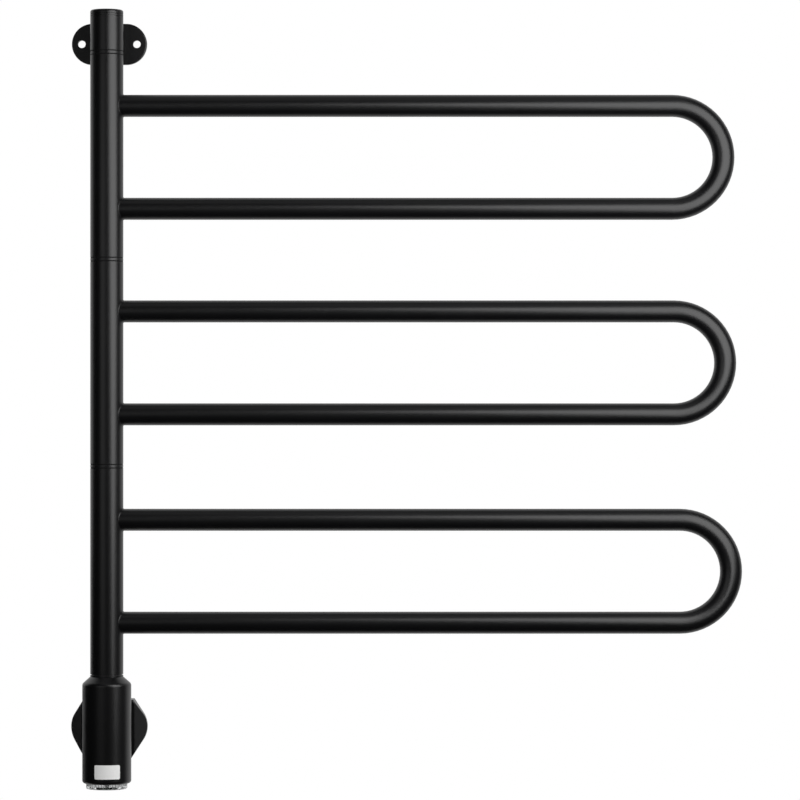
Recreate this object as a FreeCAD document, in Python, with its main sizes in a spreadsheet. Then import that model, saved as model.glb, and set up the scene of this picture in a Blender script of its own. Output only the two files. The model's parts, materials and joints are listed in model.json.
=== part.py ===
import FreeCAD, Part
import math
import os
import re
import Sketcher

# A heated swivel towel rail for a bathroom wall, in millimetres.
# The wall is the plane Y = 0, +Z is up, and the origin is the middle of the upper wall plate's back.
# The column stands in front of the wall on the line X = 0, and at rest its three loops point along +X.

os.makedirs("parts", exist_ok=True)
doc = FreeCAD.newDocument("towel_rail")

SIZES = [
    ("wall_gap", 35.0, "column axis to wall"),
    ("top_height", 28.2, "top of the column above the origin"),
    ("first_joint", 10.8, "middle of the first thrust ring below the origin"),
    ("section_pitch", 187.4, "one thrust ring to the next"),
    ("lower_section", 189.2, "third thrust ring to the seam above the housing"),
    ("column_od", 30.0, "outside of the fixed top section and the sleeves"),
    ("sleeve_wall", 1.5, "wall of the top section and the sleeves"),
    ("mast_gap", 3.5, "gap between the sleeves and the fixed inner mast"),
    ("mast_wall", 2.0, "wall of the mast"),
    ("mast_tip", 1.5, "thread standing above the mast nut"),
    ("seat_clearance", 0.05, "radial gap of pieces that seat in or on each other"),
    ("running_clearance", 0.06, "radial gap of the bushes on the mast"),
    ("loose_clearance", 0.2, "gap round pieces that must pass each other freely"),
    ("ring_band", 2.4, "height of a thrust ring's visible band"),
    ("ring_groove", 0.9, "height of the shadow groove above and below the band"),
    ("groove_depth", 1.2, "how far a groove is set in"),
    ("seam_height", 1.0, "thickness of the washer above the housing"),
    ("cap_flange", 6.2, "visible height of the top cap"),
    ("cap_groove", 0.6, "height of the shadow groove below and above the cap's band"),
    ("cap_band", 1.4, "height of that band"),
    ("cap_spigot", 6.0, "depth of the cap inside the tube"),
    ("cap_rounding", 2.0, "rounded upper edge of the cap"),
    ("plug_height", 14.0, "ring that centres the mast in the top section"),
    ("nut_height", 6.0, "round mast nut"),
    ("nut_play", 0.7, "gap round the mast nut"),
    ("nut_slot_width", 3.0, "slot for the nut's spanner"),
    ("nut_slot_depth", 2.0, "depth of that slot"),
    ("plate_width", 68.7, "upper wall plate, across"),
    ("plate_height", 37.5, "upper wall plate, up"),
    ("plate_thickness", 5.0, "upper wall plate"),
    ("plate_rounding", 1.2, "front edge of both wall plates"),
    ("plate_hole_inset", 9.15, "wall screw hole to the end of the upper plate"),
    ("plate_hole_diameter", 7.0, "wall screw hole of the upper plate"),
    ("standoff_od", 16.0, "neck between the upper plate and the column"),
    ("standoff_foot_od", 22.0, "foot of that neck on the plate"),
    ("standoff_foot_height", 2.5, "height of that foot"),
    ("standoff_screw_diameter", 6.0, "countersunk screw in the neck"),
    ("standoff_screw_length", 14.0, "length of that screw"),
    ("screw_head_share", 2.0, "countersunk head's diameter to its screw's"),
    ("hex_share", 0.55, "hexagon socket across corners to its screw's diameter"),
    ("upper_lowering", 1.0, "middle of the upper loop below the middle of its section"),
    ("middle_lowering", 0.1, "the same of the middle loop"),
    ("lower_lowering", 0.9, "the same of the lower loop"),
    ("bar_spacing", 93.4, "upper bar to lower bar of a loop"),
    ("loop_tube_od", 20.0, "bent tube of a loop"),
    ("loop_tube_wall", 1.2, "wall of that tube"),
    ("weld_leg", 1.0, "fillet weld between a bar and its sleeve"),
    ("reach_upper", 569.6, "column axis to the far side of the upper bend"),
    ("reach_middle", 571.2, "column axis to the far side of the middle bend"),
    ("reach_lower", 576.5, "column axis to the far side of the lower bend"),
    ("bush_height", 14.0, "bush in either end of a sleeve"),
    ("lug_height", 5.0, "stop lug on the lower bush"),
    ("lug_angle", 20.0, "width of the stop lug in degrees"),
    ("lug_thickness", 1.5, "radial thickness of the stop lug"),
    ("swing_angle", 180.0, "swing of a loop in degrees"),
    ("swing_slack", 0.5, "slack in degrees at either end of the swing"),
    ("stop_ring_height", 6.0, "stop ring on the mast"),
    ("lift_gap", 0.4, "lower bush to the stop ring above it"),
    ("stop_screw_diameter", 3.0, "set screw of a stop ring"),
    ("pass_hole_diameter", 10.0, "hole in a sleeve for the heating cable"),
    ("cable_diameter", 6.0, "heating cable in a loop"),
    ("cable_end_gap", 0.3, "cable end to the lead tail"),
    ("grommet_flange_gap", 1.3, "flange of a cable grommet to the tube round it"),
    ("grommet_flange_height", 2.3, "height of that flange"),
    ("window_diameter", 7.0, "lead window in the mast"),
    ("tail_diameter", 2.0, "lead tail lying round the mast"),
    ("loom_diameter", 9.0, "wiring in the mast"),
    ("loom_branch_diameter", 3.8, "branch of the wiring to a window"),
    ("housing_od", 44.4, "control housing"),
    ("housing_wall", 3.0, "wall of the housing"),
    ("housing_height", 98.0, "control housing with its shoulder"),
    ("shoulder_height", 7.7, "cone shoulder of the housing with its collar"),
    ("shoulder_collar", 1.4, "straight collar above the cone"),
    ("shoulder_rounding", 4.0, "edge between shoulder and barrel"),
    ("housing_lip", 0.2, "flat left inside the rounded lower edge of the housing"),
    ("neck_thickness", 3.0, "top wall of the housing"),
    ("foot_drop", 11.0, "top of the housing to the mast foot"),
    ("foot_gap", 3.5, "mast foot above the flange of the boss"),
    ("foot_screw_diameter", 4.0, "screws in the mast foot"),
    ("foot_screw_length", 6.0, "length of the housing's screws into the foot"),
    ("mast_lock_length", 5.0, "length of the set screws that hold the mast"),
    ("foot_screw_sink", 0.5, "how far the housing screws' heads are sunk"),
    ("foot_screw_azimuth", 50.0, "housing screws from the rear in degrees"),
    ("lower_plate_apex", 39.2, "half width to the sharp corners of the lower plate"),
    ("lower_plate_top", 25.3, "upper edge of the lower plate from its middle"),
    ("lower_plate_bottom", 33.0, "lower edge of the lower plate from its middle"),
    ("lower_plate_slope", 57.0, "flanks of the lower plate in degrees from level"),
    ("lower_plate_corner", 22.4, "rounding of the lower plate's side corners"),
    ("saddle_setback", 16.0, "front of the saddle block behind the column's axis"),
    ("saddle_half_width", 24.3, "half width of the saddle block"),
    ("wing_rim", 5.0, "thickness of the lower plate at its rim"),
    ("boss_od", 18.0, "hollow boss that plugs into the lower plate"),
    ("boss_bore", 12.0, "way through that boss for the supply lead"),
    ("boss_wall_gap", 1.0, "end of the boss to the wall"),
    ("boss_flange_od", 25.0, "flange of the boss inside the housing"),
    ("boss_flange_depth", 7.0, "depth of that flange at its middle"),
    ("lock_screw_diameter", 5.0, "set screw under the boss"),
    ("lock_screw_length", 10.0, "length of that set screw"),
    ("lower_hole_spacing", 31.0, "wall screw holes of the lower plate"),
    ("lower_hole_diameter", 5.2, "wall screw hole of the lower plate"),
    ("counterbore_diameter", 10.5, "counterbore for the wall screw's head"),
    ("counterbore_floor", 6.0, "wall to the floor of the counterbore"),
    ("carrier_rise", 9.3, "housing's lower edge to the top of the button's carrier"),
    ("chassis_floor", 2.0, "floor of the control chassis"),
    ("skirt_height", 10.0, "skirt below the chassis floor"),
    ("skirt_wall", 1.7, "wall of that skirt"),
    ("post_side", 4.0, "posts that carry the timer board"),
    ("post_shortfall", 5.0, "timer board above the top of its posts"),
    ("post_spacing", 22.0, "post to post"),
    ("board_thickness", 1.6, "both circuit boards"),
    ("timer_board_edge", 0.7, "side of the timer board to the inside of the housing"),
    ("timer_board_gap", 3.7, "timer board below the mast"),
    ("relay_room", 9.95, "middle of the timer board to the inside of the housing in front"),
    ("relay_width", 18.0, "relay on the timer board"),
    ("relay_height", 12.0, "relay, up"),
    ("relay_depth", 6.0, "relay, out from the board"),
    ("relay_bevel", 0.5, "bevel of the relay's case"),
    ("board_screw_diameter", 2.5, "screws of the timer board"),
    ("board_screw_length", 5.0, "length of those screws"),
    ("board_screw_edge", 3.0, "board screw from the top or bottom edge"),
    ("terminal_gap", 2.7, "terminal block behind the timer board"),
    ("terminal_width", 17.0, "terminal block, across"),
    ("terminal_depth", 11.0, "terminal block, front to back"),
    ("terminal_height", 12.0, "terminal block, up"),
    ("terminal_well", 3.4, "wire and screw openings of the terminal block"),
    ("terminal_well_depth", 7.0, "depth of those openings"),
    ("button_board_gap", 0.25, "button board to the skirt round it"),
    ("switch_side", 6.0, "tactile switch"),
    ("switch_height", 3.5, "height of the switch body"),
    ("switch_tip_diameter", 3.4, "plunger of the tactile switch"),
    ("switch_tip_height", 1.0, "height of that plunger"),
    ("light_diameter", 3.0, "indicator lights"),
    ("light_height", 5.0, "height of an indicator light"),
    ("light_inset", 5.0, "indicator lights to the edge of the button board"),
    ("carrier_height", 5.0, "ring that carries the button"),
    ("carrier_clearance", 0.3, "carrier to the guide tube of the button"),
    ("button_gap", 0.55, "clear push button to the inside of the housing"),
    ("button_wall", 2.2, "wall of the button's rim"),
    ("button_floor", 2.5, "floor of the button"),
    ("button_proud", 4.9, "button below the housing"),
    ("button_rim_inset", 2.0, "button rim above the housing's lower edge"),
    ("button_rounding", 1.2, "lower edge of the button"),
    ("button_tube_inset", 4.6, "outside of the button to its guide tube"),
    ("button_tube_wall", 2.0, "wall of that tube"),
    ("button_ridge", 1.2, "snap ridge of the button on the carrier"),
    ("button_ridge_height", 1.5, "height of the snap ridge"),
    ("button_post_diameter", 5.0, "post that presses the switch"),
    ("button_travel", 1.2, "travel of the button"),
    ("button_end_gap", 0.1, "post to switch with the button fully in"),
    ("spring_diameter", 12.0, "return spring, middle of the wire"),
    ("spring_wire", 0.8, "wire of the return spring"),
    ("spring_turns", 6.0, "turns of the return spring"),
    ("label_width", 22.9, "silver plate, across"),
    ("label_height", 12.8, "silver plate, up"),
    ("label_thickness", 0.6, "silver plate"),
    ("label_corner", 1.2, "corners of the silver plate"),
    ("label_rise", 11.7, "middle of the silver plate above the housing's lower edge"),
    ("label_turn", 5.5, "silver plate turned to the right of the front, in degrees"),
    ("overrun", 2.0, "how far cutters run past what they cut"),
]

sheet = doc.addObject("Spreadsheet::Sheet", "sizes")
for row, (alias, amount, meaning) in enumerate(SIZES, start=1):
    sheet.set(f"A{row}", meaning)
    sheet.set(f"B{row}", str(amount))
    sheet.setAlias(f"B{row}", alias)
SIZE = {alias: amount for alias, amount, meaning in SIZES}
doc.recompute()

# Lengths and levels that follow from the sizes. Formulas name them like the sizes themselves.
DERIVED = {
    "axis_y": "-wall_gap",
    "half_ring": "ring_band / 2 + ring_groove",
    "sleeve_bore": "column_od - 2 * sleeve_wall",
    "mast_od": "sleeve_bore - 2 * mast_gap",
    "loop_tube_bore": "loop_tube_od - 2 * loop_tube_wall",
    "grommet_flange_od": "loop_tube_bore - 2 * grommet_flange_gap",
    "plate_hole_spacing": "plate_width - 2 * plate_hole_inset",
    "upper_joint": "-first_joint",
    "middle_joint": "upper_joint - section_pitch",
    "lower_joint": "middle_joint - section_pitch",
    "seam": "lower_joint - lower_section",
    "housing_bore": "housing_od - 2 * housing_wall",
    "housing_top": "seam - seam_height / 2",
    "housing_bottom": "housing_top - housing_height",
    "lower_plate_level": "housing_top - housing_height / 2",
    "saddle_depth": "wall_gap - saddle_setback",
    "foot_top": "housing_top - foot_drop",
    "mast_bottom": "lower_plate_level + boss_flange_od / 2 + foot_gap",
    "foot_height": "foot_top - mast_bottom",
    "foot_screw_level": "foot_top - foot_height / 4",
    "inner_radius": "housing_bore / 2 - loose_clearance",
    "carrier_top": "housing_bottom + carrier_rise",
    "floor_underside": "carrier_top + skirt_height",
    "chassis_top": "floor_underside + chassis_floor",
    "timer_board_setback": "inner_radius - relay_room",
    "timer_board_width": "2 * sqrt(inner_radius ^ 2 - (timer_board_setback + board_thickness / 2) ^ 2)"
                         " - 2 * timer_board_edge",
    "timer_board_height": "mast_bottom - timer_board_gap - chassis_top",
    "post_height": "timer_board_height - post_shortfall",
    "button_board_od": "2 * (inner_radius - skirt_wall - button_board_gap)",
    "button_board_underside": "floor_underside - board_thickness",
    "button_od": "housing_bore - 2 * button_gap",
    "button_tube_od": "button_od - 2 * button_tube_inset",
    "button_bottom": "housing_bottom - button_proud",
    "button_floor_top": "button_bottom + button_floor",
}
LEVEL_NAMES = ["upper", "middle", "lower"]
SECTION_TOPS = [f"({name}_joint - half_ring)" for name in LEVEL_NAMES]
SECTION_ENDS = ["(middle_joint + half_ring)", "(lower_joint + half_ring)", "(seam + seam_height / 2)"]
SECTION_LENGTHS = ["section_pitch", "section_pitch", "lower_section"]
LOOP_LEVELS = [f"({name}_joint - {length} / 2 - {name}_lowering)"
               for name, length in zip(LEVEL_NAMES, SECTION_LENGTHS)]

TURNS = {
    "+Z": FreeCAD.Rotation(),
    "-Z": FreeCAD.Rotation(FreeCAD.Vector(1, 0, 0), 180),
    "+X": FreeCAD.Rotation(FreeCAD.Vector(0, 1, 0), 90),
    "+Y": FreeCAD.Rotation(FreeCAD.Vector(1, 0, 0), -90),
    "-Y": FreeCAD.Rotation(FreeCAD.Vector(1, 0, 0), 90),
}
SAME = 1e-3  # lengths closer than this count as the same when edges are picked
finished = []


def formula(text):
    """The formula as the document spells it: derived names worked out, sizes read from the sheet."""
    def spelled(word):
        if word.group() in DERIVED:
            return "(" + formula(DERIVED[word.group()]) + ")"
        return "sizes." + word.group() if word.group() in SIZE else word.group()

    return re.sub(r"[a-z][a-z_]+", spelled, text)


def bind(thing, **formulas):
    for name, text in formulas.items():
        thing.setExpression(name, formula(text))
    return thing


def place(thing, x="0", y="0", z="0"):
    for axis, text in zip("xyz", (x, y, z)):
        if text != "0":
            thing.setExpression("Placement.Base." + axis, formula(text))
    return thing


def turn_about_z(thing, angle):
    """Turns a piece about the Z axis by a formula in degrees."""
    thing.Placement.Rotation = FreeCAD.Rotation(FreeCAD.Vector(0, 0, 1), 1)
    return bind(thing, **{"Placement.Rotation.Angle": angle})


def piece(label, thing):
    """Marks an object as a finished sub-part under its node name."""
    thing.Label = label
    finished.append(thing)
    return thing


def rod(name, diameter, length, x="0", y="0", z="0", along="+Z", turn=None):
    cylinder = doc.addObject("Part::Cylinder", name)
    cylinder.Placement.Rotation = turn or TURNS[along]
    bind(cylinder, Radius=f"({diameter}) / 2", Height=length)
    return place(cylinder, x, y, z)


def block(name, width, depth, height, x="0", y="0", z="0"):
    """A box centred on x and y, standing on z."""
    box = bind(doc.addObject("Part::Box", name), Length=width, Width=depth, Height=height)
    return place(box, f"{x} - ({width}) / 2", f"{y} - ({depth}) / 2", z)


def join(name, *shapes):
    fusion = doc.addObject("Part::MultiFuse", name)
    fusion.Shapes = list(shapes)
    return fusion


def cut(name, base, *tools):
    result = doc.addObject("Part::Cut", name)
    result.Base = base
    result.Tool = tools[0] if len(tools) == 1 else join(name + "_cutters", *tools)
    return result


def overlap(name, base, tool):
    common = doc.addObject("Part::Common", name)
    common.Base = base
    common.Tool = tool
    return common


def group(name, *shapes):
    """Several separate solids in one node."""
    bundle = doc.addObject("Part::Compound", name)
    bundle.Links = list(shapes)
    return bundle


def tube(name, outer, inner, length, z="0"):
    """A plain tube standing on z, about the Z axis."""
    bore = rod(name + "_bore", inner, f"{length} + 2 * overrun", z=f"{z} - overrun")
    return cut(name + "_pipe", rod(name + "_outside", outer, length, z=z), bore)


def on_axis(thing):
    """Moves a piece that was drawn about the Z axis to the column."""
    return place(thing, y="axis_y")


def sketch_on(body, role, name):
    sketch = body.newObject("Sketcher::SketchObject", name)
    plane = next(feature for feature in body.Origin.OriginFeatures if feature.Role == role)
    sketch.AttachmentSupport = [(plane, "")]
    sketch.MapMode = "FlatFace"
    return sketch


def fix_point(sketch, geometry, end, tag, across, up):
    """Ties one point of a sketch to two formulas, measured from the sketch's origin."""
    for kind, axis, text in (("DistanceX", "x", across), ("DistanceY", "y", up)):
        now = getattr(sketch.getPoint(geometry, end), axis)
        number = sketch.addConstraint(Sketcher.Constraint(kind, -1, 1, geometry, end, now))
        sketch.renameConstraint(number, axis + tag)
        sketch.setExpression(f"Constraints.{axis}{tag}", formula(text))


def outline(sketch, corners):
    """A closed outline of straight lines through corners given as pairs of formulas."""
    count = len(corners)
    turns = [math.tau * k / count for k in range(count)]
    start = [FreeCAD.Vector(math.cos(turn), math.sin(turn), 0) for turn in turns]
    for k in range(count):
        sketch.addGeometry(Part.LineSegment(start[k], start[(k + 1) % count]), False)
    for k in range(count):
        sketch.addConstraint(Sketcher.Constraint("Coincident", k, 2, (k + 1) % count, 1))
    for k, (across, up) in enumerate(corners):
        fix_point(sketch, k, 1, str(k), across, up)


def circle(sketch, diameter, across="0", up="0"):
    number = sketch.addGeometry(Part.Circle(FreeCAD.Vector(), FreeCAD.Vector(0, 0, 1), 1), False)
    fix_point(sketch, number, 3, f"_centre{number}", across, up)
    constraint = sketch.addConstraint(Sketcher.Constraint("Diameter", number, 2))
    sketch.renameConstraint(constraint, f"diameter{number}")
    sketch.setExpression(f"Constraints.diameter{number}", formula(diameter))


def turned(name, corners):
    """A body turned about the Z axis from its half section, given as radius and height."""
    body = doc.addObject("PartDesign::Body", name)
    sketch = sketch_on(body, "XZ_Plane", name + "_section")
    outline(sketch, corners)
    revolution = body.newObject("PartDesign::Revolution", name + "_turning")
    revolution.Profile = sketch
    revolution.ReferenceAxis = (sketch, ["V_Axis"])
    revolution.Angle = 360
    return body


def padded_outline(name, role, corners, depth):
    """A body made by padding one straight-sided outline along its plane's normal."""
    body = doc.addObject("PartDesign::Body", name)
    sketch = sketch_on(body, role, name + "_outline")
    outline(sketch, corners)
    pad = body.newObject("PartDesign::Pad", name + "_pad")
    pad.Profile = sketch
    bind(pad, Length=depth)
    return body


def dress(body, kind, name, amount, wanted):
    """A fillet or chamfer on the edges of the body that are wanted."""
    doc.recompute()
    last = body.Tip
    edges = [f"Edge{number}" for number, edge in enumerate(last.Shape.Edges, start=1) if wanted(edge)]
    dressing = body.newObject("PartDesign::" + kind, name)
    dressing.Base = (last, edges)
    bind(dressing, **{"Radius" if kind == "Fillet" else "Size": amount})
    print(name, len(edges), "edges")
    return body


def same(one, other):
    return abs(one - other) < SAME


def is_circle(edge, radius, level):
    """True for a level circle of the given radius at the given height in the body's own frame."""
    if not isinstance(edge.Curve, Part.Circle):
        return False
    return same(edge.Curve.Radius, radius) and same(edge.Curve.Center.z, level)


def screw(name, diameter, length, headed):
    """A screw along +Z with its driven end at the origin: countersunk, or a set screw."""
    shank = rod(name + "_shank", diameter, length)
    across = f"{diameter} * hex_share"
    if headed:
        head = doc.addObject("Part::Cone", name + "_head")
        bind(head, Height=f"{diameter} / 2",
             Radius1=f"{diameter} * screw_head_share / 2", Radius2=f"{diameter} / 2")
        shank = join(name + "_blank", shank, head)
    socket = doc.addObject("Part::Prism", name + "_socket")
    bind(socket, Circumradius=across, Height=f"{diameter} / 2 + overrun")
    place(socket, z="-overrun")
    return cut(name, shank, socket)


def build_upper_plate():
    body = doc.addObject("PartDesign::Body", "upper_plate_blank")
    sketch = sketch_on(body, "XZ_Plane", "upper_plate_outline")
    quarter = math.pi / 2
    half = (SIZE["plate_width"] - SIZE["plate_height"]) / 2
    radius = SIZE["plate_height"] / 2
    for side in (1, -1):
        middle = Part.Circle(FreeCAD.Vector(side * half, 0, 0), FreeCAD.Vector(0, 0, 1), radius)
        sketch.addGeometry(Part.ArcOfCircle(middle, -side * quarter, (2 - side) * quarter), False)
    for side in (1, -1):
        start = FreeCAD.Vector(-side * half, side * radius, 0)
        end = FreeCAD.Vector(side * half, side * radius, 0)
        sketch.addGeometry(Part.LineSegment(start, end), False)
    for first, first_end, second, second_end in ((2, 2, 0, 2), (0, 1, 3, 1), (3, 2, 1, 2), (1, 1, 2, 1)):
        sketch.addConstraint(Sketcher.Constraint("Tangent", first, first_end, second, second_end))
    sketch.addConstraint(Sketcher.Constraint("Equal", 0, 1))
    fix_point(sketch, 0, 3, "_right", "(plate_width - plate_height) / 2", "0")
    fix_point(sketch, 1, 3, "_left", "-(plate_width - plate_height) / 2", "0")
    number = sketch.addConstraint(Sketcher.Constraint("Radius", 0, radius))
    sketch.renameConstraint(number, "end_radius")
    bind(sketch, **{"Constraints.end_radius": "plate_height / 2"})
    pad = body.newObject("PartDesign::Pad", "upper_plate_pad")
    pad.Profile = sketch
    bind(pad, Length="plate_thickness")
    front = -SIZE["plate_thickness"]
    dress(body, "Fillet", "upper_plate_edge", "plate_rounding",
          lambda edge: same(edge.BoundBox.YMin, front) and same(edge.BoundBox.YMax, front))
    holes = sketch_on(body, "XZ_Plane", "upper_plate_holes")
    for side in ("", "-"):
        circle(holes, "plate_hole_diameter", across=f"{side}plate_hole_spacing / 2")
    pocket = body.newObject("PartDesign::Pocket", "upper_plate_hole_pocket")
    pocket.Profile = holes
    pocket.Reversed = True
    pocket.Type = "ThroughAll"
    sunk = doc.addObject("Part::Cone", "upper_plate_countersink")
    sunk.Placement.Rotation = TURNS["-Y"]
    reach = "standoff_screw_diameter / 2 + seat_clearance"
    bind(sunk, Radius1="standoff_screw_diameter * screw_head_share / 2 + seat_clearance", Radius2=reach,
         Height="standoff_screw_diameter / 2")
    way = rod("upper_plate_screw_way", f"2 * ({reach})", "plate_thickness + overrun", along="-Y")
    piece("upper_wall_plate", cut("upper_plate_drilled", body, sunk, way))


def build_standoff():
    neck = rod("standoff_neck", "standoff_od", "wall_gap - plate_thickness",
               y="-plate_thickness", along="-Y")
    foot = rod("standoff_foot", "standoff_foot_od", "standoff_foot_height",
               y="-plate_thickness", along="-Y")
    tap = rod("standoff_tap", "standoff_screw_diameter + 2 * seat_clearance",
              "standoff_screw_length + seat_clearance", along="-Y")
    column = rod("standoff_saddle", "column_od + 2 * seat_clearance", "2 * standoff_foot_od",
                 y="axis_y", z="-standoff_foot_od")
    piece("upper_standoff", cut("upper_standoff_shape", join("standoff_blank", neck, foot), tap, column))
    bolt = screw("standoff_bolt", "standoff_screw_diameter", "standoff_screw_length", True)
    bolt.Placement.Rotation = TURNS["-Y"]
    piece("standoff_screw", bolt)


def build_top():
    top = "(top_height - cap_flange)"
    foot = "(upper_joint + half_ring)"
    piece("top_section", on_axis(tube("top_section", "column_od", "sleeve_bore", f"{top} - {foot}", z=foot)))
    spigot = "(sleeve_bore / 2 - seat_clearance)"
    set_in = "(column_od / 2 - groove_depth)"
    band_top = "(cap_groove + cap_band)"
    cap = turned("top_cap", [
        ("0", "0"), (f"{spigot} - sleeve_wall", "0"), (f"{spigot} - sleeve_wall", "-cap_spigot"),
        (spigot, "-cap_spigot"), (spigot, "0"), (set_in, "0"), (set_in, "cap_groove"),
        ("column_od / 2", "cap_groove"), ("column_od / 2", band_top), (set_in, band_top),
        (set_in, f"{band_top} + cap_groove"), ("column_od / 2", f"{band_top} + cap_groove"),
        ("column_od / 2", "cap_flange"), ("0", "cap_flange")])
    dress(cap, "Fillet", "top_cap_edge", "cap_rounding",
          lambda edge: is_circle(edge, SIZE["column_od"] / 2, SIZE["cap_flange"]))
    piece("top_cap", place(cap, y="axis_y", z=top))
    bore = "mast_od / 2 + seat_clearance"
    plug = turned("top_plug", [(bore, "0"), (spigot, "0"), (spigot, "plug_height"), (bore, "plug_height")])
    plug_radius = SIZE["column_od"] / 2 - SIZE["sleeve_wall"] - SIZE["seat_clearance"]
    dress(plug, "Chamfer", "top_plug_lead", "groove_depth",
          lambda edge: is_circle(edge, plug_radius, SIZE["plug_height"]))
    piece("top_plug", place(plug, y="axis_y", z=foot))
    rim = "(sleeve_bore / 2 - nut_play)"
    nut = turned("mast_nut_blank", [(bore, "0"), (rim, "0"), (rim, "nut_height"), (bore, "nut_height")])
    slot_base = "(nut_height - nut_slot_depth)"
    depth = "nut_slot_depth + overrun"
    slots = [block("nut_slot_across", "column_od", "nut_slot_width", depth, z=slot_base),
             block("nut_slot_deep", "nut_slot_width", "column_od", depth, z=slot_base)]
    piece("mast_nut", place(cut("mast_nut_slotted", nut, *slots), y="axis_y", z=f"{foot} + plug_height"))


def lead_level(index):
    return f"({LOOP_LEVELS[index]} - bar_spacing / 2)"


def stop_base(index):
    return f"({SECTION_ENDS[index]} + bush_height + lift_gap)"


def build_mast():
    top = "(upper_joint + half_ring + plug_height + nut_height + mast_tip)"
    blank = tube("mast", "mast_od", "mast_od - 2 * mast_wall", f"{top} - mast_bottom", z="mast_bottom")
    openings = []
    for k, name in enumerate(LEVEL_NAMES):
        openings.append(rod(f"mast_window_{name}", "window_diameter", "mast_od",
                            z=lead_level(k), along="-Y"))
        openings.append(stop_screw_way("mast", k, name))
    piece("mast_tube", on_axis(cut("mast_drilled", blank, *openings)))
    grommets = []
    for k, name in enumerate(LEVEL_NAMES):
        barrel = rod(f"window_grommet_{name}_barrel", "window_diameter - 2 * seat_clearance", "mast_wall",
                     y="-mast_od / 2 + mast_wall", z=lead_level(k), along="-Y")
        limit = rod(f"window_grommet_{name}_limit", "mast_od", "2 * window_diameter",
                    z=f"{lead_level(k)} - window_diameter")
        outside = overlap(f"window_grommet_{name}_outside", barrel, limit)
        hole = rod(f"window_grommet_{name}_hole", "loom_branch_diameter + 2 * seat_clearance",
                   "mast_od", z=lead_level(k), along="-Y")
        grommets.append(cut(f"window_grommet_{name}", outside, hole))
    piece("window_grommets", on_axis(group("window_grommet_set", *grommets)))
    loom_foot = "(chassis_top + terminal_height)"
    trunk = rod("loom_trunk", "loom_diameter", f"{lead_level(0)} + loom_diameter - {loom_foot}",
                z=loom_foot)
    branches = [rod(f"loom_branch_{name}", "loom_branch_diameter", "mast_od / 2",
                    z=lead_level(k), along="-Y") for k, name in enumerate(LEVEL_NAMES)]
    piece("mast_loom", on_axis(join("mast_loom_shape", trunk, *branches)))


def stop_screw_way(owner, k, name):
    """Cutter for the set screw that holds a stop ring, on the side away from the loops."""
    return rod(f"{owner}_stop_screw_way_{name}", "stop_screw_diameter + 2 * seat_clearance",
               "column_od / 2", x="-column_od / 2", z=f"{stop_base(k)} + stop_ring_height / 2", along="+X")


def build_rings():
    inner = "(mast_od / 2 + seat_clearance)"
    set_in = "(column_od / 2 - groove_depth)"
    rim = "(column_od / 2)"
    high = "(2 * ring_groove + ring_band)"
    for k, name in enumerate(LEVEL_NAMES):
        ring = turned(f"thrust_ring_{name}", [
            (inner, "0"), (set_in, "0"), (set_in, "ring_groove"), (rim, "ring_groove"),
            (rim, "ring_groove + ring_band"), (set_in, "ring_groove + ring_band"), (set_in, high),
            (inner, high)])
        piece(f"thrust_ring_{name}", place(ring, y="axis_y", z=f"{name}_joint - half_ring"))
    washer = turned("shoulder_washer", [
        (inner, "0"), (set_in, "0"), (set_in, "seam_height"), (inner, "seam_height")])
    piece("shoulder_washer", place(washer, y="axis_y", z="housing_top"))


def build_stop_rings():
    rim = "(sleeve_bore - 4 * loose_clearance)"
    bore = "mast_od + 2 * seat_clearance"
    slot_floor = "(sleeve_bore - 2 * lug_thickness - 3 * loose_clearance)"
    screw_length = f"{rim} / 2 - (mast_od / 2 - mast_wall)"
    screws = []
    for k, name in enumerate(LEVEL_NAMES):
        base = stop_base(k)
        blank = tube(f"stop_ring_{name}", rim, bore, "stop_ring_height", z=base)
        sector = rod(f"stop_sector_{name}", "column_od", "stop_ring_height + 2 * overrun",
                     z=f"{base} - overrun")
        bind(sector, Angle="swing_angle + lug_angle + 2 * swing_slack")
        turn_about_z(sector, "-(swing_angle / 2 + lug_angle / 2 + swing_slack)")
        core = rod(f"stop_core_{name}", slot_floor, "stop_ring_height + 4 * overrun",
                   z=f"{base} - 2 * overrun")
        slot = cut(f"stop_slot_{name}", sector, core)
        way = stop_screw_way("ring", k, name)
        piece(f"stop_ring_{name}", on_axis(cut(f"stop_ring_{name}_shape", blank, slot, way)))
        set_screw = screw(f"stop_screw_{name}", "stop_screw_diameter", screw_length, False)
        set_screw.Placement.Rotation = TURNS["+X"]
        screws.append(place(set_screw, x=f"-{rim} / 2", z=f"{base} + stop_ring_height / 2"))
    piece("stop_ring_screws", on_axis(group("stop_ring_screw_set", *screws)))


def build_bush(k, name):
    bore = "(mast_od / 2 + running_clearance)"
    outside = "(sleeve_bore / 2 - seat_clearance)"
    section = [(bore, "0"), (outside, "0"), (outside, "bush_height"), (bore, "bush_height")]
    upper = turned(f"upper_bush_{name}", section)
    piece(f"{name}_loop_upper_bush", place(upper, y="axis_y", z=f"{SECTION_TOPS[k]} - bush_height"))
    lower = turned(f"lower_bush_{name}", section)
    wedge = rod(f"lug_{name}_wedge", f"2 * {outside}", "bush_height / 2 + lift_gap + lug_height",
                z="bush_height / 2")
    bind(wedge, Angle="lug_angle")
    turn_about_z(wedge, "swing_angle / 2 - lug_angle / 2")
    hollow = rod(f"lug_{name}_hollow", "sleeve_bore - 2 * lug_thickness - 2 * loose_clearance",
                 "2 * bush_height", z="0")
    lug = cut(f"lug_{name}", wedge, hollow)
    shape = join(f"lower_bush_{name}_lugged", lower, lug)
    piece(f"{name}_loop_lower_bush", place(shape, y="axis_y", z=SECTION_ENDS[k]))


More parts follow.
